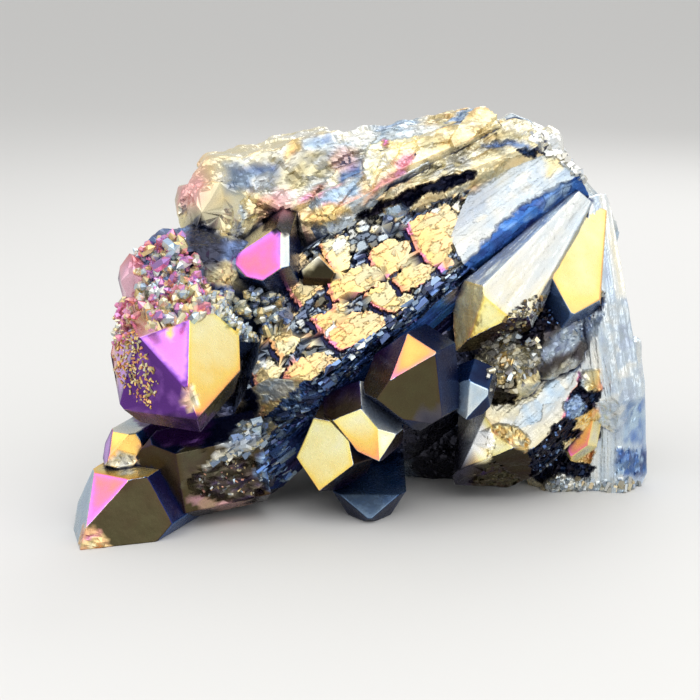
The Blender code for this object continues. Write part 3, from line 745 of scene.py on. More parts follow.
        "film": 0.45, "end": 0.52, "shade": 0.75, "pale": 0.4, "rough": 0.6, "crumb": 1.0, "soft": 0.3},
    "endGold": {
        "outline": ((-11.4, -8.5), (-10.7, -6.6), (-8.3, -5.8), (-6.1, -5.6), (-9.5, -9.5)),
        "film": 0.7, "end": 0.62, "shade": 0.85, "rough": 0.6, "crumb": 0.8, "soft": 0.3},
    "endShade": {
        "outline": ((-13.6, -2.9), (-12.0, -2.7), (-10.7, -6.8), (-11.4, -9.0), (-12.9, -8.5)),
        "film": 0.24, "shade": 0.12, "pale": 0.0, "soft": 0.6},
    "roseFoot": {
        "outline": ((-17.9, 10.7), (-14.8, 11.3), (-12.7, 9.0), (-10.2, 7.9), (-13.4, 7.4), (-17.6, 7.7)),
        "film": 0.6, "shade": 0.6, "pale": 0.25, "soft": 0.6},
    "violetZone": {
        "outline": ((22.4, 0.0), (26.4, 3.8), (29.0, 4.1), (31.1, 4.9), (30.4, 2.3), (27.7, 0.0),
            (24.5, -1.2), (23.2, -2.6)),
        "film": 0.35, "end": 0.42, "shade": 0.7, "pale": 0.4, "rough": 0.6, "crumb": 0.6, "lift": -0.3,
        "soft": 0.8},
    "roughGold": {
        "outline": ((16.3, 0.9), (19.0, 1.1), (23.4, 0.1), (23.1, -2.4), (20.1, -4.4), (17.5, -4.3),
            (16.7, -2.1)),
        "film": 0.6, "end": 0.56, "shade": 0.73, "rough": 1.0, "crumb": 0.7, "soft": 0.5},
    # dark brown film, dimmed by painted shade in the pit
    "pitBelow": {
        "outline": ((17.0, -4.4), (20.1, -3.8), (20.6, -5.0), (19.7, -6.6), (17.2, -6.6)),
        "film": 0.07, "shade": 0.18, "pale": 0.0, "rough": 0.8, "crumb": 0.5, "lift": -0.6},
    "bladeTop": {
        "outline": ((18.9, -10.2), (17.4, -9.5), (20.0, -6.1), (24.5, -2.3), (27.0, -0.7), (28.3, -1.2),
            (27.5, -3.5), (24.5, -8.0), (21.9, -10.2)),
        "film": 0.565, "end": 0.43, "shade": 0.58, "pale": 0.23, "rough": 0.4, "crumb": 2.0, "soft": 0.5},
    "bladeEdge": {
        "outline": ((25.3, -8.3), (28.0, -2.4), (28.6, -2.9), (26.0, -8.6)),
        "film": 0.86, "shade": 0.73, "pale": 0.07},
    "bladeCrumbs": {
        "outline": ((17.4, -8.8), (20.1, -9.0), (22.0, -10.7), (21.8, -12.4), (19.7, -11.7),
            (17.3, -10.2)),
        "film": 0.64, "shade": 0.73, "pale": 0.15, "rough": 1.0, "crumb": 0.6},
    # painted highlight: shade above 1 makes these tip facets glare bright
    "whiteTip": {
        "outline": ((12.2, -11.0), (14.8, -8.9), (17.2, -9.4), (17.8, -12.0), (15.9, -12.4),
            (13.4, -12.0)),
        "film": 0.5, "shade": 2.3, "pale": 0.5, "rough": 0.5, "crumb": 0.8},
    "yellowTip": {
        "outline": ((11.9, -11.6), (13.7, -11.9), (17.8, -11.9), (17.2, -13.6), (15.7, -14.4)),
        "film": 0.57, "end": 0.6, "shade": 2.1, "pale": 0.13},
    "plumFoot": {
        "outline": ((11.9, -11.9), (15.7, -14.2), (17.8, -13.5), (20.7, -15.6), (18.6, -18.5),
            (15.2, -17.0), (12.4, -14.1)),
        "film": 0.11, "end": 0.02, "shade": 0.6, "pale": 0.01, "rough": 0.9, "crumb": 0.5},
    # painted shade in the groove
    "grooveShade": {
        "outline": ((23.7, -11.0), (25.9, -7.9), (27.0, -5.0), (28.1, -2.8), (30.4, -5.1), (30.4, -6.1),
            (29.2, -6.6), (30.3, -10.2), (30.3, -11.0), (29.0, -13.9), (30.4, -14.4), (28.8, -15.8),
            (25.2, -15.1), (23.4, -16.3), (21.9, -15.3), (21.9, -12.2)),
        "film": 0.2, "end": 0.24, "shade": 0.1, "pale": 0.0, "rough": 1.0, "crumb": 0.5, "lift": -0.9},
    "stepTop": {
        "outline": ((28.0, -2.7), (30.4, -2.2), (30.9, -5.0), (29.0, -5.4), (27.7, -4.3)),
        "film": 0.41, "end": 0.8, "shade": 0.82, "pale": 0.17, "rough": 0.1, "lift": 0.7},
    "stepBlue": {
        "outline": ((25.9, -6.6), (27.7, -5.2), (29.1, -6.8), (28.2, -8.3), (25.9, -8.3)),
        "film": 0.36, "shade": 0.73, "pale": 0.17, "lift": 0.4},
    "stepYellow": {
        "outline": ((27.3, -8.3), (30.2, -7.1), (30.5, -8.8), (29.7, -10.1), (27.1, -9.9)),
        "film": 0.59, "end": 0.68, "shade": 0.86, "pale": 0.15, "lift": 0.6},
    "stepRose": {
        "outline": ((25.8, -11.0), (29.0, -10.2), (30.4, -11.0), (29.3, -14.0), (25.8, -12.8)),
        "film": 0.6, "end": 0.74, "shade": 0.82, "pale": 0.23, "lift": 0.6},
    "stepFoot": {
        "outline": ((23.2, -16.3), (25.2, -15.2), (28.8, -16.4), (31.9, -15.7), (35.3, -16.1),
            (35.3, -17.0), (30.4, -17.8), (26.3, -18.5), (23.2, -17.8)),
        "film": 0.5, "end": 0.42, "shade": 0.69, "pale": 0.3, "rough": 0.9, "crumb": 0.6, "lift": 0.2},
    "edgeGlass": {
        "outline": ((30.5, 6.1), (34.6, 7.1), (36.5, -6.1), (35.3, -11.9), (31.9, -12.4), (30.8, -6.1)),
        "film": 0.43, "end": 0.41, "shade": 0.92, "pale": 0.47, "rough": 0.2, "crumb": 1.6, "soft": 0.8,
        "tilt": 0.0},
    "edgeBlue": {
        "outline": ((33.2, -5.8), (36.5, -5.6), (36.5, -11.9), (33.1, -11.9)),
        "film": 0.38, "shade": 0.82, "pale": 0.15, "soft": 0.8, "tilt": 0.0},
    "edgeLow": {
        "outline": ((32.1, -12.0), (36.5, -11.7), (36.5, -15.6), (31.9, -15.6)),
        "film": 0.35, "end": 0.3, "shade": 0.73, "pale": 0.07, "rough": 0.9, "crumb": 0.7, "soft": 0.6,
        "tilt": 0.0}}

# the same on the large points
pointFacets = {
    "goldNotch": {
        "outline": ((-23.0, 3.3), (-21.7, 0.9), (-20.6, 3.7)),
        "film": 0.62, "end": 0.74, "shade": 1.0, "pale": 0.1, "tilt": 0.0},
    "greatBreak": {
        "outline": ((-20.6, -4.9), (-19.5, -4.1), (-18.3, -5.4), (-18.3, -7.2), (-19.7, -7.5),
            (-20.7, -6.3)),
        "film": 0.84, "end": 0.56, "shade": 0.9, "pale": 0.5, "rough": 1.0, "crumb": 0.5, "lift": -0.2},
    "footBreak": {
        "outline": ((-32.9, -21.2), (-31.0, -21.5), (-28.7, -23.7), (-29.3, -25.1), (-33.1, -25.1)),
        "film": 0.74, "end": 0.68, "shade": 0.75, "pale": 0.25, "rough": 1.0, "crumb": 0.5, "tilt": 0.0},
    "footTop": {
        "outline": ((-29.9, -13.7), (-27.7, -12.0), (-25.4, -13.5), (-26.5, -15.2), (-29.2, -14.7)),
        "film": 0.58, "shade": 0.85, "pale": 0.5, "rough": 0.8, "crumb": 0.8},
    "oliveSide": {
        "outline": ((-20.7, -11.0), (-17.9, -10.6), (-17.9, -13.9), (-20.7, -17.3)),
        "film": 0.04, "end": 0.06, "shade": 1.0, "pale": 0.03},
    "shellHollow": {
        "outline": ((-19.2, -15.0), (-16.2, -14.0), (-13.1, -12.5), (-11.0, -13.6), (-9.7, -16.7),
            (-11.7, -18.6), (-16.2, -18.3), (-19.2, -17.5)),
        "film": 0.06, "end": 0.09, "shade": 0.9, "pale": 0.05, "rough": 1.2, "crumb": 0.45,
        "lift": -1.2, "soft": 0.5},
    "goldStrip": {
        "outline": ((-18.4, -13.9), (-14.7, -11.7), (-10.2, -10.3), (-11.4, -12.5), (-15.5, -13.6),
            (-17.6, -15.1)),
        "film": 0.56, "end": 0.52, "shade": 0.85, "pale": 0.5, "rough": 0.8, "crumb": 0.6},
    "silverBlocks": {
        "outline": ((-16.5, -11.7), (-14.7, -10.6), (-13.1, -8.8), (-9.5, -8.0), (-9.7, -10.6),
            (-12.4, -12.2)),
        "film": 0.46, "end": 0.42, "shade": 0.75, "pale": 0.55, "rough": 1.0, "crumb": 0.8, "lift": 0.2},
    "blueLines": {
        "outline": ((-11.2, -12.7), (-8.0, -11.1), (-7.1, -16.3), (-10.2, -17.2), (-11.4, -14.8)),
        "film": 0.3, "end": 0.34, "shade": 0.9, "pale": 0.1, "rough": 0.9, "crumb": 0.6},
    "paleRim": {
        "outline": ((-19.8, -17.6), (-16.2, -18.3), (-11.6, -18.6), (-12.9, -20.1), (-16.9, -19.5),
            (-19.7, -18.7)),
        "film": 0.81, "end": 0.76, "shade": 0.55, "pale": 0.45, "rough": 0.5},
    # dark violet film below the pink face, dimmed by painted shade
    "greatFoot": {
        "outline": ((-28.0, -7.1), (-24.3, -7.4), (-18.7, -7.7), (-15.8, -7.5), (-17.6, -11.7),
            (-23.1, -11.7)),
        "film": 1.0, "shade": 0.35, "pale": 0.0, "rough": 0.1, "tilt": 0.0, "soft": 0.4},
    "leftRind": {
        "outline": ((-30.9, 1.8), (-29.0, 7.5), (-26.8, 7.5), (-26.8, 4.1), (-28.5, 0.6), (-28.3, -5.1),
            (-30.7, 0.6)),
        "film": 0.84, "end": 0.72, "shade": 0.85, "pale": 0.35, "rough": 1.0, "crumb": 0.6, "tilt": 0.0,
        "lift": -0.4},
    # painted shade in the notch by the rose point
    "notchByRose": {
        "outline": ((-10.8, 17.5), (-6.1, 17.9), (-6.0, 13.3), (-7.9, 13.7), (-9.5, 14.7), (-10.8, 14.2)),
        "film": 0.17, "shade": 0.05, "pale": 0.0, "tilt": 0.0},
    "smallBright": {
        "outline": ((-6.3, 10.5), (-3.9, 12.7), (-2.8, 12.0), (-4.1, 10.0), (-5.7, 9.0)),
        "film": 0.55, "shade": 1.1, "pale": 0.3, "rough": 0.1, "tilt": 0.0}}


# what the three blocks of the step share
stepBlock = {
    "azimuth": -35, "elevation": -70, "roll": 10, "length": 9, "tips": (0, 1.0, 0.8, 0, 0.6, 0)}

# great points at the front; a face's look: film at its high or tip end, film at the other, shade, pale
# the shades and the darkest films paint light and shade: lit faces bright, faces turned down or away dark
largePoints = {
    "greatPoint": {
        "tip": (-18.2, -24.0, 19.2), "azimuth": 16, "elevation": -11, "roll": -13, "length": 19,
        "sides": (7.3, 7.5, 5.3, 5.6, 7.9, 5.2), "tips": (2.0, 0, 0, 0, 2.1, 4), "rootScale": 0.83,
        "look": {
            "t0": (0.03, 0.02, 0.9), "t1": (0.54, 0.69, 1.15), "t2": (0.885, 0.93, 0.95),
            "t3": (0.985, 0.995, 0.8), "s2": (0.8, 0.62, 0.85, 0.45), "s1": (0.45, 0.4, 0.6),
            # painted shade: t4, the underside, is dark
            "s3": (0.95, 0.9, 0.8), "t4": (0.21, 0.18, 0.15), "rest": (0.22, 0.2, 0.6)}},
    "footPoint": {
        "tip": (-30.5, -20.0, 2.2), "azimuth": -29, "elevation": -5.5, "roll": -31, "length": 24,
        "sides": (6.5, 5.5, 4.3, 5.0, 5.5, 6.0), "tips": (3.0, 0, 0, 0, 3, 4),
        "look": {
            "t1": (0.03, 0.02, 0.9), "t2": (0.79, 0.89, 0.9), "t3": (0.4, 0.43, 0.55),
            "s2": (0.62, 0.56, 0.7), "s1": (0.2, 0.24, 0.7), "rest": (0.3, 0.25, 0.5)}},
    "sidePoint": {
        "tip": (-28.5, -14.0, 8.8), "azimuth": -29, "elevation": -5.5, "roll": -31, "length": 20,
        "sides": (2.6, 2.5, 2.0, 2.5, 2.6, 2.6), "tips": (1.0, 0, 0, 0, 1, 1),
        "look": {
            "t1": (0.6, 0.7, 1.0), "t2": (0.6, 0.7, 1.0), "t3": (0.94, 0.93, 0.8), "s2": (0.5, 0.3, 0.6),
            "rest": (0.25, 0.22, 0.5)}},
    "lowPoint": {
        "tip": (-23.8, -12.5, 5.5), "azimuth": -75, "elevation": -8, "roll": 0, "length": 13,
        "sides": (3.5, 4.9, 5.0, 5.0, 5.0, 4.9), "tips": (1.0, 3.5, 3, 1, 3, 3.5),
        "look": {
            # painted shade: s1 lies under the great point and is dark
            "s0": (0.02, 0.06, 1.0), "s1": (0.23, 0.21, 0.15), "t0": (0.05, 0.08, 0.7),
            "t1": (0.06, 0.1, 0.6), "s5": (0.12, 0.1, 0.4), "rest": (0.2, 0.22, 0.25)}},
    "middlePoint": {
        "tip": (3.7, -17.0, 18.7), "azimuth": -33.2, "elevation": -3, "roll": 5.7, "length": 9,
        "sides": (3.5, 3.6, 3.8, 5.0, 5.5, 6.5), "tips": (0, 0, 0, 2.8, 2.6, 3.0),
        "look": {
            "t1": (0.65, 0.76, 0.8), "t0": (0.03, 0.01, 0.85), "t2": (0.22, 0.03, 0.7),
            "rest": (0.22, 0.24, 0.25)}},
    "rosePoint": {
        "tip": (-8.6, -14.0, 25.4), "azimuth": -5, "elevation": -13.6, "roll": 5.5, "length": 16,
        "sides": (1.0, 6.0, 6.5, 8.0, 6.5, 6.5), "tips": (5, 0, 0, 0, -3.4, -5.2),
        "look": {
            "t2": (0.88, 0.835, 0.85), "t1": (0.48, 0.46, 0.6), "t3": (0.6, 0.04, 0.6),
            "s2": (0.58, 0.6, 0.8, 0.4), "s1": (0.5, 0.45, 0.8, 0.4), "rest": (0.24, 0.2, 0.5)}},
    "brightPoint": {
        "tip": (2.5, -16.0, 8.8), "azimuth": 3.5, "elevation": -39.5, "roll": 3.4, "length": 9,
        "sides": (3.0, 2.2, 3.9, 6.0, 5.0, 3.0), "tips": (0, 0, 0, 0.9, 0, 0.3),
        "look": {
            "t2": (0.51, 0.72, 1.15), "t1": (0.5, 0.54, 1.3), "s1": (0.45, 0.48, 0.9),
            "rest": (0.05, 0.16, 0.4)}},
    "goldenPoint": {
        "tip": (-4.2, -13.5, 4.6), "azimuth": -32, "elevation": -42, "roll": 28, "length": 12,
        "sides": (4.5, 5.0, 4.2, 3.5, 4.0, 4.0), "tips": (2.5, 0, 2.5, 0.3, 2.0, 0),
        "look": {
            "t1": (0.55, 0.63, 1.2), "t2": (0.4, 0.44, 0.8), "s2": (0.36, 0.42, 0.7),
            "rest": (0.05, 0.16, 0.4)}},
    "smallPoint": {
        "tip": (-4.5, -5.5, 30.6), "azimuth": 4, "elevation": 59, "roll": 24, "length": 6,
        "sides": (1.6, 2.2, 1.6, 2.2, 1.6, 2.2), "tips": (0, 2, 0, 2, 0, 2),
        "look": {
            "t4": (0.02, 0.01, 0.5), "t0": (0.57, 0.6, 1.0), "t2": (0.86, 0.5, 1.0),
            "rest": (0.06, 0.04, 0.6)}},
    "bluePoint": {
        "tip": (12.7, -13.0, 13.9), "azimuth": -20, "elevation": -35, "roll": 0, "length": 6,
        "sides": (2.0, 2.0, 2.2, 2.4, 2.2, 2.2), "tips": (0.3, 0, 0, 1.0, 1.0, 1.0),
        "look": {"t1": (0.42, 0.45, 0.8), "t2": (0.4, 0.44, 0.8), "rest": (0.26, 0.24, 0.22)}},
    "slatePoint": {
        "tip": (1.5, -12.5, 1.2), "azimuth": 0, "elevation": -8, "roll": 30, "length": 22,
        "sides": (5.5, 1.6, 5.5, 3.0, 3.0, 3.0), "tips": (3.0, 0, 3.0, 0.5, 0.5, 0.5),
        "look": {"t1": (0.35, 0.37, 0.3), "s1": (0.34, 0.28, 0.3), "rest": (0.26, 0.24, 0.2)}},
    "stepHigh": {
        **stepBlock, "tip": (28.5, -0.5, 13.0), "sides": (1.5, 1.6, 1.4, 1.6, 1.5, 1.6),
        "look": {"s1": (0.86, 0.44, 0.8), "rest": (0.44, 0.4, 0.8)}},
    "stepMiddle": {
        **stepBlock, "tip": (27.5, -1.0, 8.5), "sides": (1.6, 1.5, 1.6, 1.5, 1.6, 1.5),
        "look": {"s1": (0.66, 0.5, 0.8), "rest": (0.56, 0.45, 0.8)}},
    "stepLow": {
        **stepBlock, "tip": (27.0, -1.5, 4.0), "sides": (1.9, 1.8, 1.9, 1.8, 1.9, 1.8),
        "look": {"s1": (0.8, 0.52, 0.8), "rest": (0.5, 0.6, 0.8)}}}

streaky = {"streaks": 0.10, "width": 1.1, "length": 16.0, "bands": 0.07, "wave": 0.08}
striated = {"streaks": 0.16, "width": 0.7, "length": 12.0, "bands": 0.10, "wave": 0.06}
splintered = {
    "breaks": 0.55, "breakSize": 4.0, "tones": 0.10, "streaks": 0.05, "width": 0.6, "length": 5.0,
    "bands": 0.04, "wave": 0.35, "crumbs": 0.05, "size": 1.2, "stretch": 2.0, "glitter": 0.03,
    "sparkle": 0.15}
crumbly = {"crumbs": 0.25, "size": 1.2, "glitter": 0.2, "sparkle": 0.5, "wave": 0.3}

# cracked blocks on a rib's side; plates are the large ones, outlined as seen
mosaicTiles = {
    "outline": ((-7.8, 14.8), (-3.4, 14.4), (0.0, 15.6), (4.1, 16.8), (8.2, 17.8), (11.4, 19.0),
        (14.6, 19.5), (13.6, 17.5), (12.2, 13.6), (13.9, 10.0), (9.7, 6.7), (4.4, 1.8), (0.4, -0.6),
        (-4.9, -5.2), (-10.0, -11.2), (-13.9, -9.0), (-12.4, -1.9), (-10.5, 1.1), (-9.0, 6.1)),
    "long": 1.5, "wide": 0.95, "crack": 0.11, "spread": 0.08, "pale": 0.35, "shade": 0.62,
    "depth": 0.35, "rise": 0.3, "films": (0.44, 0.46, 0.62, 0.56, 0.43, 0.4),
    "plates": (
        {"film": 0.68, "outline": ((-8.8, 9.5), (-7.4, 12.0), (-5.7, 11.9), (-3.3, 8.0), (-3.4, 7.5),
            (-6.1, 5.0), (-7.4, 6.7))},
        {"film": 0.625, "outline": ((-3.9, 13.0), (-0.2, 14.1), (0.2, 10.3), (-1.5, 8.6), (-2.9, 11.1))},
        {"film": 0.675, "outline": ((-2.9, 8.2), (1.9, 10.7), (4.3, 9.6), (3.3, 7.8), (0.5, 6.6),
            (-2.1, 5.8), (-2.8, 7.1))},
        {"film": 0.695, "outline": ((2.2, 11.7), (4.7, 13.7), (7.2, 13.4), (7.4, 11.2), (4.6, 8.6),
            (2.8, 9.2))},
        {"film": 0.685, "outline": ((5.0, 8.6), (8.0, 11.0), (10.6, 10.1), (9.1, 7.9), (6.4, 6.9))},
        {"film": 0.695, "outline": ((6.7, 15.2), (8.4, 16.4), (11.9, 17.9), (13.4, 15.8), (12.3, 11.9),
            (9.9, 10.0), (7.8, 12.3))},
        {"film": 0.765, "outline": ((10.2, 10.5), (11.6, 11.8), (12.9, 10.8), (11.7, 9.0))},
        {"film": 0.665, "outline": ((1.6, 6.6), (2.6, 8.4), (5.4, 8.8), (7.9, 6.1), (5.2, 4.4),
            (3.3, 4.9))},
        {"film": 0.695, "outline": ((-5.1, 3.8), (-2.7, 4.7), (3.4, 4.7), (4.7, 3.0), (1.9, 0.9),
            (-1.3, -0.1), (-3.0, 1.3))},
        {"film": 0.645, "outline": ((-2.6, 6.1), (-0.2, 6.9), (-0.1, 4.0), (-1.9, 4.5))},
        {"film": 0.655, "outline": ((-10.2, 1.6), (-7.7, 2.9), (-5.8, 1.6), (-6.6, -0.1), (-8.2, -1.2),
            (-9.2, -0.4))},
        {"film": 0.695, "outline": ((-8.3, -3.2), (-6.3, -1.0), (-3.7, -0.2), (-1.2, -1.0),
            (-3.7, -3.0), (-6.8, -5.1))},
        {"film": 0.625, "outline": ((-12.3, -2.3), (-10.3, -1.0), (-7.3, -2.3), (-6.7, -5.6),
            (-9.0, -7.9), (-10.7, -6.1))},
        {"film": 0.685, "outline": ((-10.8, -6.2), (-8.6, -5.6), (-7.3, -6.4), (-9.7, -9.2),
            (-11.4, -8.6))})}
wallTiles = {
    "outline": ((-13.4, -11.0), (-6.1, -4.3), (-0.6, 0.4), (3.4, 2.8), (8.8, 7.7), (12.7, 10.7),
        (15.8, 9.7), (11.0, 6.1), (4.9, 0.6), (-2.4, -6.1), (-7.9, -12.2), (-12.2, -14.6)),
    "long": 1.9, "wide": 0.5, "crack": 0.18, "spread": 0.06, "pale": 0.05, "shade": 1.0,
    "depth": 0.3, "rise": 0.2, "films": (0.34, 0.27, 0.29, 0.39, 0.26, 0.36, 0.24)}

# what the ribs of one kind share; each one's own values go over these
splinteredRib = {
    "pale": 0.45, "bevel": 0.7, "roll": -20, "rootScale": 0.9, "tips": (2, 2, 2, 2, 4, 2),
    "grain": splintered}
rightRib = {
    "sides": (4.5, 4.5, 4.5, 5, 5, 5), "pale": 0.45, "roll": 0, "rootScale": 0.8,
    "tips": (2, 2, 2, 2, 4, 2), "grain": striated}

# long crystals of the fan, each from its broken root to its free end
# their shades paint light and shade too: faces turned down are dark, lit tip faces bright
fanRibs = {
    "mosaic": {
        "tip": (-14.0, -7.5, 13.0), "root": (24.5, 5.0, 40.0), "pale": 0.35, "roll": -20,
        "sides": (7, 5, 11, 8, 7, 7), "rootScale": 0.75, "tips": (0, 1, 0, 2, 4, 2), "grain": streaky,
        "tiles": {1: mosaicTiles, 0: wallTiles}, "fine": 0.28,
        "look": {
            "s1": (0.6, 0.43, 0.6), "s0": (0.28, 0.25, 1.0, 0.0), "t0": (0.62, 0.6, 0.5),
            "t1": (0.66, 0.6, 0.8), "t2": (0.44, 0.3, 0.6), "rest": (0.4, 0.46, 0.7)}},
    "roseRib": {
        **splinteredRib, "tip": (-8.5, 2.5, 32.5), "root": (24.0, 5.5, 43.0), "sides": (4, 4, 5, 6, 6, 6),
        "rootScale": 0.8,
        "look": {"s1": (0.6, 0.56, 0.9), "s0": (0.62, 0.6, 0.8), "rest": (0.5, 0.52, 0.8)}},
    "crestLeft": {
        **splinteredRib, "tip": (-19.5, 1.0, 35.5), "root": (-2.0, 7.5, 39.5), "roll": -30,
        "sides": (7, 5, 5, 6, 6, 6), "tips": (0, 0, 2, 2, 4, 2),
        "look": {"s1": (0.56, 0.44, 0.8), "s0": (0.56, 0.6, 0.7), "rest": (0.6, 0.52, 0.8)}},
    "crestMiddle": {
        **splinteredRib, "tip": (-5.5, 7.0, 37.5), "root": (15.5, 11.5, 41.5), "roll": -30,
        "sides": (5, 5, 5, 5, 5, 5),
        "look": {"s1": (0.44, 0.5, 0.8), "rest": (0.5, 0.56, 0.8)}},
    "crestHigh": {
        **splinteredRib, "tip": (5.5, 10.0, 39.5), "root": (20.5, 12.0, 35.0), "roll": -30,
        "sides": (5, 6, 6, 6, 6, 6),
        "look": {"s1": (0.44, 0.56, 0.8), "rest": (0.5, 0.58, 0.8)}},
    "hollowRib": {
        **splinteredRib, "tip": (-7.0, -0.5, 32.5), "root": (8.5, 3.5, 40.0),
        "sides": (2.5, 3, 3, 4, 5, 5), "tips": (0, 0, 1, 2, 4, 2),
        "look": {"s1": (0.8, 0.4, 0.8), "rest": (0.42, 0.4, 0.8)}},
    "yellowEnd": {
        **splinteredRib, "tip": (1.0, 1.5, 37.5), "root": (17.0, 6.0, 44.0), "pale": 0.35, "bevel": 0.5,
        "sides": (2.5, 3, 3, 4, 5, 5), "tips": (0, 0, 0, 2, 4, 2),
        "look": {"s1": (0.55, 0.58, 1.0), "t1": (0.52, 0.57, 1.1), "rest": (0.56, 0.6, 0.9)}},
    "upperStreak": {
        **splinteredRib, "tip": (4.5, 0.5, 35.5), "root": (22.5, 3.5, 42.0), "pale": 0.35, "bevel": 0.5,
        "sides": (2, 3, 2.4, 4, 5, 5),
        "look": {"s1": (0.6, 0.58, 0.9), "rest": (0.62, 0.58, 0.8)}},
    "groove": {
        "tip": (-14.5, -5.5, 4.0), "root": (9.5, -2.0, 25.0), "roll": -20, "sides": (3.5, 3, 5, 5, 5, 5),
        "rootScale": 0.8, "tips": (2, 2, 2, 2, 4, 2), "grain": striated,
        "tiles": {1: wallTiles}, "fine": 0.3,
        "look": {"s1": (0.25, 0.23, 0.5), "rest": (0.24, 0.22, 0.4)}},
    "creamBlade": {
        "tip": (13.0, -7.5, 21.0), "root": (27.0, 1.0, 36.5), "pale": 0.45, "clean": True, "roll": -30,
        "sides": (5.8, 4, 5, 5, 5, 5), "rootScale": 0.25, "tips": (0, 0, 0, 2, 4, 2), "grain": streaky,
        "look": {
            "s1": (0.53, 0.45, 0.7), "s0": (0.44, 0.42, 0.7), "t1": (0.57, 0.61, 1.25, 0.0),
            "t2": (0.59, 0.66, 1.35, 0.2), "t0": (0.1, 0.04, 0.6, 0.0), "s2": (0.46, 0.42, 0.9),
            "rest": (0.24, 0.2, 0.6)}},
    "goldBlade": {
        "tip": (24.4, -3.2, 23.0), "root": (28.2, 2.5, 35.0), "pale": 0.1, "clean": True, "roll": -20,
        "sides": (4.5, 3, 5, 4, 4, 4), "rootScale": 0.45, "tips": (1.5, 2.5, 1.5, 2, 2, 2),
        "look": {
            "s0": (0.64, 0.6, 0.85), "s1": (0.63, 0.59, 0.85), "s2": (0.44, 0.34, 0.6),
            "rest": (0.34, 0.28, 0.35)}},
    "lowerBlade": {
        "tip": (12.2, -6.4, 4.6), "root": (28.0, 2.5, 15.0), "pale": 0.45, "roll": -20,
        "sides": (6, 4.5, 6, 6, 6, 6), "rootScale": 0.85, "tips": (0, 0, 0, 1, 4, 2), "grain": streaky,
        "look": {
            "s1": (0.57, 0.46, 0.6), "t1": (0.57, 0.6, 1.15, 0.1), "t2": (0.5, 0.52, 1.0),
            "s0": (0.04, 0.16, 0.4, 0.0), "t0": (0.05, 0.1, 0.5, 0.0), "rest": (0.24, 0.2, 0.4)}},
    "rightUpper": {
        **rightRib, "tip": (31.5, 0.0, 10.5), "root": (27.5, 4.0, 36.0), "roll": -20,
        "sides": (7.0, 3.5, 3.5, 4, 4, 7),
        "look": {"rest": (0.43, 0.47, 1.1)}},
    "rightEdge": {
        **rightRib, "tip": (31.5, 3.0, -2.0), "root": (31.0, 4.5, 18.0), "sides": (5, 4, 4, 4, 4, 5),
        "rootScale": 0.9,
        "look": {"rest": (0.4, 0.45, 0.95)}},
    "rightMiddle": {
        **rightRib, "tip": (27.0, 3.5, -1.0), "root": (27.5, 6.0, 28.5),
        "look": {"rest": (0.44, 0.48, 0.8)}},
    "rightFoot": {
        **rightRib, "tip": (24.5, 3.0, -1.5), "root": (30.0, 5.0, 18.5),
        "look": {"rest": (0.5, 0.58, 0.7)}}}

backCrystal = {
    "sides": (5, 5, 5, 5, 5, 5), "pale": 0.3, "bevel": 0.3, "rootScale": 0.7, "tips": (2, 0, 2, 0, 1, 0),
    "grain": streaky}
backCrystals = {
    "backCrest": {
        **backCrystal, "tip": (-22.0, 7.0, 30.0), "root": (18.0, 11.0, 36.0), "roll": 0,
        "sides": (6, 6, 5, 6, 6, 6), "tips": (2, 0, 2, 0, 1, 2),
        "look": {"s1": (0.5, 0.56, 0.9), "s3": (0.62, 0.46, 0.9), "rest": (0.56, 0.44, 0.8)}},
    "backLeft": {
        **backCrystal, "tip": (-26.0, 5.0, 12.0), "root": (8.0, 9.0, 26.0), "roll": 15,
        "sides": (6, 6, 6, 5, 6, 6), "rootScale": 0.8, "tips": (1, 0, 2, 0, 0, 2),
        "look": {"s2": (0.66, 0.4, 0.9), "s1": (0.86, 0.6, 0.8), "rest": (0.6, 0.3, 0.7)}},
    "backMiddle": {
        **backCrystal, "tip": (-14.0, 17.0, 21.0), "root": (16.0, 10.0, 36.0), "roll": 25,
        "look": {"s2": (0.6, 0.46, 0.9), "s3": (0.34, 0.44, 0.8), "rest": (0.66, 0.42, 0.8)}},
    "backLow": {
        **backCrystal, "tip": (-8.0, 20.0, 6.0), "root": (16.0, 9.0, 30.0), "roll": 5,
        "sides": (5, 6, 5, 5, 5, 5), "tips": (2, 1, 0, 0, 1, 0),
        "look": {"s2": (0.42, 0.5, 0.9), "s3": (0.72, 0.46, 0.8), "rest": (0.56, 0.36, 0.8)}},
    "backFoot": {
        **backCrystal, "tip": (8.0, 21.0, 3.0), "root": (21.0, 10.0, 32.0), "roll": 40,
        "sides": (5, 5, 5, 5, 6, 5),
        "look": {"s2": (0.62, 0.44, 0.9), "s1": (0.44, 0.54, 0.8), "rest": (0.86, 0.44, 0.8)}},
    "backRight": {
        **backCrystal, "tip": (22.0, 18.0, 0.0), "root": (24.0, 9.0, 34.0), "roll": 10,
        "tips": (2, 0, 1, 0, 1, 0), "grain": striated,
        "look": {"s2": (0.56, 0.42, 0.9), "rest": (0.46, 0.4, 0.8)}},
    "backToe": {
        **backCrystal, "tip": (-18.0, 13.0, 3.0), "root": (4.0, 8.0, 22.0), "roll": 30,
        "sides": (5, 5, 5, 4, 5, 5), "rootScale": 0.8, "tips": (0, 1, 0, 2, 0, 1),
        "look": {"s2": (0.7, 0.4, 0.9), "rest": (0.6, 0.24, 0.7)}}}

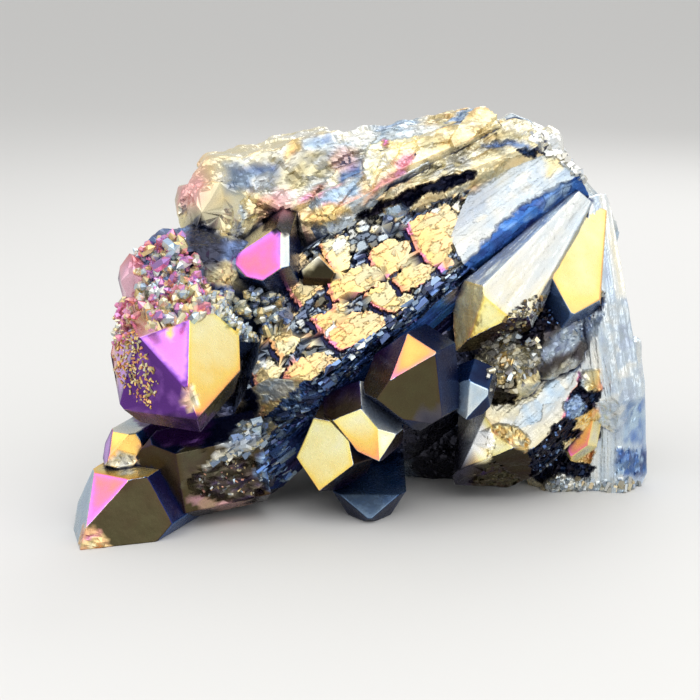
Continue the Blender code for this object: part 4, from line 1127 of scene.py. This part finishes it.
# broken quartz behind the crystals: lumps by middle and half sizes; their low shades are painted shade
brokenQuartz = {
    "seed": 11, "radius": 1.4, "breaks": 48, "depth": (0.84, 1.0), "fine": 0.5, "wear": 5,
    "wornSpan": 1.5, "patch": 0.5, "patchy": 0.08, "pale": 0.2, "axis": Vector((0.5, 0.2, 0.8)),
    "lumps": {
        "heart": {"middle": (2, 7, 21), "half": (22, 12, 17), "film": 0.24, "shade": 0.5},
        "base": {"middle": (11, 11, 5), "half": (20, 10, 9), "film": 0.40, "shade": 0.6},
        "leftShoulder": {"middle": (-19.5, -3, 23.5), "half": (8, 8, 11), "film": 0.30, "shade": 0.6},
        "footBed": {"middle": (-16, -2, 6), "half": (9, 8, 7), "film": 0.20, "shade": 0.4},
        "rootTop": {"middle": (19, 10, 36), "half": (10, 8, 9), "film": 0.50, "shade": 0.9},
        "rootSide": {"middle": (24, 9, 30), "half": (8.5, 9, 10), "film": 0.46, "shade": 0.9},
        "creamShoulder": {"middle": (-14.5, 2.5, 34), "half": (7, 6, 5), "film": 0.56, "shade": 0.8},
        "hump": {"middle": (-25.2, -5, 26.7), "half": (2.6, 4, 4.0), "film": 0.84, "shade": 0.8},
        "rightHollow": {"middle": (20, -1, 20), "half": (8, 6, 6), "film": 0.10, "shade": 0.35},
        "roughLedge": {"middle": (18, -3, 16), "half": (4.5, 4.5, 4), "film": 0.58, "shade": 0.8}}}


def lumpSolids():
    rng = random.Random(brokenQuartz["seed"])
    solids = []
    for lump in brokenQuartz["lumps"].values():
        bm = bmesh.new()
        bmesh.ops.create_icosphere(bm, subdivisions=1, radius=brokenQuartz["radius"])
        for _ in range(brokenQuartz["breaks"]):
            way = Vector([rng.gauss(0, 1) for _ in range(3)]).normalized()
            sliceOff(bm, way * rng.uniform(*brokenQuartz["depth"]), way)
        bmesh.ops.transform(
            bm, verts=bm.verts[:],
            matrix=Matrix.Translation(lump["middle"]) @ Matrix.Diagonal((*lump["half"], 1.0)))
        sliceOff(bm, Vector(), down)
        trimToArc(bm)
        bmesh.ops.recalc_face_normals(bm, faces=bm.faces[:])
        solids.append(bm)
    return solids


def growLumps(name):
    parts = []
    for bm, lump in zip(lumpSolids(), brokenQuartz["lumps"].values()):
        refine(bm, brokenQuartz["fine"])
        fineSpan = brokenQuartz["fine"] * brokenQuartz["wornSpan"]
        rounded = [vert for vert in bm.verts if all(
            edge.calc_length() < fineSpan for edge in vert.link_edges)]
        for _ in range(brokenQuartz["wear"]):
            bmesh.ops.smooth_vert(
                bm, verts=rounded, factor=0.5, use_axis_x=True, use_axis_y=True, use_axis_z=True)
        film, shade, cover, coverColour = coatLayers(bm.verts.layers)
        for vert in bm.verts:
            vert[film], vert[shade], vert[cover] = lump["film"], lump["shade"], 1.0
            thick = lump["film"] + brokenQuartz["patchy"] * noise.noise(vert.co * brokenQuartz["patch"])
            vert[coverColour] = filmColour(thick, brokenQuartz["pale"])
        relieve(bm, brokenQuartz["axis"], crumbly, facets)
        parts.append(toObject(bm, f"{name}_{len(parts)}"))
    return joined(parts, name)


def plainMass():  # the crystals and lumps while still plain, for what shades what
    places, faces = [], []
    solids = [crystalSolid(s)[0] for group in (largePoints, fanRibs, backCrystals) for s in group.values()]
    for bm in solids + lumpSolids():
        first = len(places)
        bm.verts.index_update()
        places += [vert.co.copy() for vert in bm.verts]
        faces += [[first + vert.index for vert in face.verts] for face in bm.faces]
        bm.free()
    return BVHTree.FromPolygons(places, faces)


def plate(centre, toRoot, across, outward, size, turn):
    bm = bmesh.new()
    bmesh.ops.create_cube(bm, size=1.0)
    place = Matrix((toRoot, across, outward)).transposed().to_4x4()
    bmesh.ops.transform(
        bm, verts=bm.verts[:],
        matrix=Matrix.Translation(centre) @ place @ turn @ Matrix.Diagonal((*size, 1.0)))
    return bm


# small six-sided crystals that crowd together: where they sit as seen, how many, how wide
drusePatches = {
    "shoulder": {
        "outline": ((-25.8, 6.1), (-26.8, 10.7), (-24.3, 13.4), (-20.4, 13.6), (-18.3, 10.7),
            (-16.8, 7.3), (-14.8, 6.1), (-18.3, 3.9), (-24.3, 2.4)),
        "count": 300, "girth": (0.25, 0.68), "films": (0.87, 0.86, 0.62, 0.58, 0.44, 0.5, 0.92, 0.46)},
    "hump": {
        "outline": ((-28.7, 0.6), (-28.8, 4.9), (-27.7, 6.1), (-25.8, 6.1), (-26.2, 2.4)),
        "count": 40, "girth": (0.2, 0.45), "films": (0.84, 0.86, 0.6, 0.52)},
    "underRose": {
        "outline": ((-17.6, 6.1), (-12.8, 7.9), (-7.3, 6.1), (-7.3, 3.0), (-10.7, 1.8), (-12.2, 3.7),
            (-15.6, 4.6)),
        "count": 90, "girth": (0.25, 0.6), "films": (0.52, 0.5, 0.62, 0.4, 0.45, 0.3)},
    "besideGreat": {
        "outline": ((-17.5, 6.1), (-15.6, 5.8), (-11.4, 1.5), (-12.2, 0.6)),
        "count": 60, "girth": (0.2, 0.45), "films": (0.46, 0.5, 0.42, 0.55)}}


druse = {
    "seed": 23, "growth": (0, -0.35, 0.35), "lean": 0.55, "height": (0.7, 1.8), "sunk": 0.8,
    "narrowing": 0.92, "point": (0.9, 1.4), "shade": 0.95, "pale": 0.25}
faceTones = {"film": 0.06, "glow": (0.6, 1.25)}  # how much the faces of one small crystal differ


def druseCrystal(rng, foot, axis, girth, film):
    tall = girth * rng.uniform(*druse["height"])
    bm = bmesh.new()
    bmesh.ops.create_cone(
        bm, cap_ends=True, segments=6, radius1=girth, radius2=girth * druse["narrowing"],
        depth=tall + druse["sunk"])
    top = max(bm.faces, key=lambda face: face.calc_center_median().z)
    bmesh.ops.poke(bm, faces=[top], offset=girth * rng.uniform(*druse["point"]))
    turn = Matrix.Rotation(rng.uniform(0, math.tau), 4, "Z")
    bmesh.ops.transform(
        bm, verts=bm.verts[:], matrix=standing(foot + axis * (tall - druse["sunk"]) / 2, axis) @ turn)
    paintFaces(bm, rng, film, druse["shade"], druse["pale"])
    return bm


def paintFaces(bm, rng, tone, light, pale):
    film, shade, cover, coverColour = coatLayers(bm.loops.layers)
    for face in bm.faces:
        colour = filmColour(tone + rng.uniform(-faceTones["film"], faceTones["film"]), pale)
        glow = light * rng.uniform(*faceTones["glow"])
        for corner in face.loops:
            corner[film], corner[shade], corner[cover], corner[coverColour] = tone, glow, 1.0, colour


def spotIn(outline, rng):
    left, bottom, right, top = boxOf(outline)
    while True:
        spot = rng.uniform(left, right), rng.uniform(bottom, top)
        if inside(spot, outline):
            return spot


def footings(patches, rng):  # where the lines of sight through each patch's random spots land
    for patch in patches.values():
        for _ in range(patch["count"]):
            foot, normal, _, _ = skin.ray_cast(eye, sightLine(*spotIn(patch["outline"], rng)))
            if foot is not None:
                yield patch, foot, normal


def growDruse(name):
    rng = random.Random(druse["seed"])
    parts = []
    for patch, foot, normal in footings(drusePatches, rng):
        lean = Vector([rng.uniform(-druse["lean"], druse["lean"]) for _ in range(3)])
        axis = (normal + Vector(druse["growth"]) + lean).normalized()
        bm = druseCrystal(rng, foot, axis, rng.uniform(*patch["girth"]), rng.choice(patch["films"]))
        parts.append(toObject(bm, f"{name}_{len(parts)}"))
    return joined(parts, name)


# chips of broken quartz: where as seen, how many, their size, and the rib that they lie along
chipPatches = {
    "wallChips": {
        "outline": ((-10.7, -10.0), (-0.6, -0.2), (6.1, 5.5), (12.8, 10.7), (13.6, 9.5), (6.7, 3.9),
            (0.2, -1.9), (-9.1, -11.2)),
        "count": 110, "size": (1.2, 0.35, 0.6), "along": "mosaic",
        "films": (0.34, 0.4, 0.3, 0.26, 0.44), "shade": (0.4, 1.0), "pale": 0.15},
    "paleBlocks": {
        "outline": ((-15.1, -11.9), (-13.4, -9.1), (-10.0, -8.3), (-9.1, -9.7), (-10.7, -11.7),
            (-12.8, -12.9), (-16.5, -13.6)),
        "count": 70, "size": (1.0, 0.5, 0.6), "along": "mosaic", "films": (0.44, 0.36, 0.5, 0.6, 0.4),
        "shade": (0.4, 1.1), "pale": 0.25},
    "blueSplinters": {
        "outline": ((-10.6, -11.0), (-7.7, -11.6), (-7.9, -15.8), (-10.3, -15.6)),
        "count": 60, "size": (2.2, 0.28, 0.5), "along": "mosaic", "films": (0.32, 0.28, 0.36, 0.42),
        "shade": (0.5, 1.0), "pale": 0.1},
    "roughGold": {
        "outline": ((16.3, 0.6), (18.9, 2.2), (23.1, 1.2), (22.9, -1.8), (20.7, -5.1), (17.0, -4.9)),
        "count": 100, "size": (0.8, 0.4, 0.6), "films": (0.6, 0.56, 0.5, 0.46, 0.08),
        "shade": (0.4, 1.1), "pale": 0.5},
    "hollowEdge": {
        "outline": ((18.3, 3.4), (21.9, 6.4), (31.1, 7.5), (31.1, 6.6), (24.1, 5.6), (20.7, 2.4),
            (17.8, 1.2)),
        "count": 110, "size": (0.5, 0.25, 0.35), "films": (0.6, 0.66, 0.08, 0.52, 0.14),
        "shade": (0.15, 0.6), "pale": 0.2},
    "hollowGlints": {
        "outline": ((20.7, 5.6), (31.1, 6.6), (30.4, 3.0), (25.6, 0.0), (20.7, 0.6), (18.3, 2.4)),
        "count": 60, "size": (0.3, 0.15, 0.2), "films": (0.3, 0.34, 0.42, 0.12),
        "shade": (0.3, 1.0), "pale": 0.1},
    "grooveGlints": {
        "outline": ((22.1, -15.8), (22.3, -12.4), (25.6, -9.1), (27.3, -6.1), (29.2, -6.6),
            (25.6, -10.0), (25.1, -14.6)),
        "count": 26, "size": (0.4, 0.2, 0.25), "films": (0.3, 0.32, 0.36, 0.42),
        "shade": (0.3, 0.9), "pale": 0.1},
    "rimCrust": {
        "outline": ((20.7, 26.5), (23.7, 26.0), (29.4, 22.1), (30.2, 19.5), (28.2, 20.7), (23.7, 24.3)),
        "count": 120, "size": (0.7, 0.45, 0.5), "films": (0.48, 0.5, 0.46, 0.44),
        "shade": (0.9, 1.2), "pale": 0.7},
    "footCrumbs": {
        "outline": ((23.4, -16.5), (25.6, -15.6), (31.9, -16.1), (35.3, -15.8), (35.3, -17.0),
            (30.4, -17.8), (25.6, -18.3)),
        "count": 90, "size": (0.8, 0.45, 0.5), "along": "rightFoot", "films": (0.46, 0.5, 0.6, 0.42),
        "shade": (0.5, 1.1), "pale": 0.5},
    "shellGlints": {
        "outline": ((-18.7, -15.1), (-13.1, -13.0), (-10.2, -14.4), (-10.7, -17.5), (-14.4, -18.3),
            (-18.3, -17.5)),
        "count": 55, "size": (0.4, 0.15, 0.25), "films": (0.5, 0.46, 0.62, 0.1, 0.78),
        "shade": (0.3, 1.0), "pale": 0.3},
    "greatFreckles": {
        "outline": ((-28.8, 0.6), (-27.0, 3.9), (-25.6, 1.2), (-23.1, -3.7), (-24.3, -7.3),
            (-27.0, -6.7), (-28.7, -2.7)),
        "count": 320, "size": (0.38, 0.18, 0.2), "films": (0.62, 0.66, 0.7, 0.74, 0.58),
        "shade": (0.5, 1.1), "pale": 0.1}}


chips = {
    "seed": 31, "astray": 3, "scale": (0.5, 1.4), "stretch": (0.7, 1.3), "tilt": 18, "raised": 0.1,
    "cuts": 2, "cutAt": (0.4, 0.6)}


def chipSolid(rng, foot, normal, way, patch):
    scale = rng.uniform(*chips["scale"])
    size = [side * scale * rng.uniform(*chips["stretch"]) for side in patch["size"]]
    first, second = [math.radians(rng.uniform(-chips["tilt"], chips["tilt"])) for _ in range(2)]
    turn = Matrix.Rotation(first, 4, "Y") @ Matrix.Rotation(second, 4, "X")
    bm = plate(foot + normal * size[2] * chips["raised"], way, normal.cross(way), normal, size, turn)
    for _ in range(chips["cuts"]):
        cut = Vector([rng.uniform(-1, 1) for _ in range(3)]).normalized()
        sliceOff(bm, foot + cut * min(size) * rng.uniform(*chips["cutAt"]), cut)
    sliceOff(bm, Vector(), down)
    return bm


def scatterChips(name):
    rng = random.Random(chips["seed"])
    parts = []
    for patch, foot, normal in footings(chipPatches, rng):
        way = Vector([rng.uniform(-1, 1) for _ in range(3)])
        if "along" in patch:
            rib = fanRibs[patch["along"]]
            way = Vector(rib["root"]) - Vector(rib["tip"]) + way * chips["astray"]
        way = (way - normal * way.dot(normal)).normalized()
        bm = chipSolid(rng, foot, normal, way, patch)
        paintFaces(bm, rng, rng.choice(patch["films"]), rng.uniform(*patch["shade"]), patch["pale"])
        parts.append(toObject(bm, f"{name}_{len(parts)}"))
    return joined(parts, name)


coating = {
    "metallic": 0.7, "blotches": 420.0, "blotchDetail": 5.0, "drift": 0.10, "grains": 1500.0,
    "grainDetail": 3.0, "smooth": 0.16, "rough": 0.38, "bump": 0.15, "bumpDepth": 0.0001}


def addNode(tree, kind, inputs, operation=None):  # each input is a value, or an output to link from
    node = tree.nodes.new("ShaderNode" + kind)
    if operation:
        node.operation = operation
    for socket, value in inputs.items():
        if isinstance(value, bpy.types.NodeSocket):
            tree.links.new(value, node.inputs[socket])
        else:
            node.inputs[socket].default_value = value
    return node.outputs


def stored(tree, name, output="Fac"):
    node = tree.nodes.new("ShaderNodeAttribute")
    node.attribute_name = name
    return node.outputs[output]


def colourRamp(tree, share):
    ramp = tree.nodes.new("ShaderNodeValToRGB")
    stops = ramp.color_ramp.elements
    for number, (place, colour) in enumerate(filmColours):
        stop = stops[number] if number < 2 else stops.new(place)
        stop.position = place
        stop.color = (*colour, 1.0)
    tree.links.new(share, ramp.inputs["Fac"])
    return ramp.outputs["Color"]


def auraCoating():
    material = bpy.data.materials.new("auraCoating")
    material.use_nodes = True
    tree = material.node_tree
    film, shade, cover = [stored(tree, name) for name in plainLayers]
    where = addNode(tree, "TexCoord", {})["Object"]
    blotch = addNode(tree, "TexNoise", {
        "Vector": where, "Scale": coating["blotches"], "Detail": coating["blotchDetail"]})["Fac"]
    shift = addNode(tree, "Math", {0: film, 1: coating["drift"] / 2}, "SUBTRACT")[0]
    thick = addNode(tree, "Math", {0: blotch, 1: coating["drift"], 2: shift}, "MULTIPLY_ADD")[0]
    bare = addNode(tree, "Math", {0: 1.0, 1: cover}, "SUBTRACT")[0]
    under = addNode(tree, "VectorMath", {0: colourRamp(tree, thick), "Scale": bare}, "SCALE")[0]
    coat = addNode(tree, "VectorMath", {0: under, 1: stored(tree, "coverColour", "Vector")}, "ADD")[0]
    # the colour times shade: painted light and shade
    tone = addNode(tree, "VectorMath", {0: coat, "Scale": shade}, "SCALE")[0]
    grain = addNode(tree, "TexNoise", {
        "Vector": where, "Scale": coating["grains"], "Detail": coating["grainDetail"]})["Fac"]
    gloss = addNode(tree, "MapRange", {
        "Value": grain, "To Min": coating["smooth"], "To Max": coating["rough"]})[0]
    bump = addNode(tree, "Bump", {
        "Height": grain, "Strength": coating["bump"], "Distance": coating["bumpDepth"]})[0]
    shader = tree.nodes["Principled BSDF"]
    shader.inputs["Metallic"].default_value = coating["metallic"]
    for socket, output in (("Base Color", tone), ("Roughness", gloss), ("Normal", bump)):
        tree.links.new(output, shader.inputs[socket])
    return material


def placeCamera():
    camera = bpy.data.objects.new("camera", bpy.data.cameras.new("camera"))
    camera.data.lens = studio["lens"]
    camera.location = (eye - boxMiddle) * mm
    camera.rotation_euler = aheadWay.to_track_quat("-Z", "Y").to_euler()
    camera.data.clip_start = studio["clip"]
    bpy.context.scene.collection.objects.link(camera)
    bpy.context.scene.camera = camera


def placeLight(name, plan):
    way = pointAxis(plan["azimuth"], plan["elevation"])
    lamp = bpy.data.lights.new(name, "AREA")
    lamp.shape = "DISK"
    lamp.size = plan["size"] * mm
    lamp.energy = plan["watts"]
    light = bpy.data.objects.new(name, lamp)
    light.location = (way * plan["away"] + Vector(studio["lampAim"])) * mm
    light.rotation_euler = way.to_track_quat("Z", "Y").to_euler()
    bpy.context.scene.collection.objects.link(light)


def layFloor():
    bm = bmesh.new()
    bmesh.ops.create_grid(bm, x_segments=1, y_segments=1, size=studio["floorSize"])
    mesh = bpy.data.meshes.new("floor")
    bm.to_mesh(mesh)
    bm.free()
    floor = bpy.data.objects.new("floor", mesh)
    paint = bpy.data.materials.new("palePaper")
    paint.use_nodes = True
    shader = paint.node_tree.nodes["Principled BSDF"]
    shader.inputs["Base Color"].default_value = (*studio["floor"], 1.0)
    shader.inputs["Roughness"].default_value = studio["floorRough"]
    mesh.materials.append(paint)
    bpy.context.scene.collection.objects.link(floor)


def lightRoom():
    world = bpy.data.worlds.new("softRoom")
    world.use_nodes = True
    background = world.node_tree.nodes["Background"]
    background.inputs["Color"].default_value = (1.0, 1.0, 1.0, 1.0)
    background.inputs["Strength"].default_value = studio["world"]
    bpy.context.scene.world = world
    bpy.context.scene.view_settings.view_transform = "Standard"


placeCamera()
for lightName, lightPlan in lights.items():
    placeLight(lightName, lightPlan)
lightRoom()
layFloor()
print("camera, lights and floor")

# the fan's crystals by piece, and how fine each piece is made
ribPieces = {
    "mosaicRib": {"fine": 0.3, "ribs": ("mosaic",)},
    "grooveRib": {"fine": 0.3, "ribs": ("groove",)},
    "crestRibs": {"fine": 0.4, "ribs": (
        "roseRib", "crestLeft", "crestMiddle", "crestHigh", "hollowRib", "yellowEnd", "upperStreak")},
    "rightRibs": {"fine": 0.42, "ribs": (
        "creamBlade", "goldBlade", "lowerBlade", "rightUpper", "rightEdge", "rightMiddle",
        "rightFoot")}}
wornEdge = 0.15

coat = auraCoating()
massTree = plainMass()
print("coating and plain mass")
pieces = [growCrystals(largePoints, "largePoints", fine=0.8, bevel=0.12, facets=pointFacets)]
for pieceName, plan in ribPieces.items():
    ribs = {rib: fanRibs[rib] for rib in plan["ribs"]}
    pieces.append(growCrystals(ribs, pieceName, fine=plan["fine"], bevel=wornEdge, facets=facets))
pieces += [
    growCrystals(backCrystals, "backCrystals", fine=0.6, bevel=wornEdge, facets={}),
    growLumps("brokenQuartz"),
    growDruse("druseCrust"),
    scatterChips("brokenChips")]
for piece in pieces:
    piece.data.materials.clear()
    piece.data.materials.append(coat)
    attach(piece, "root")
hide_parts("quartz_cluster")
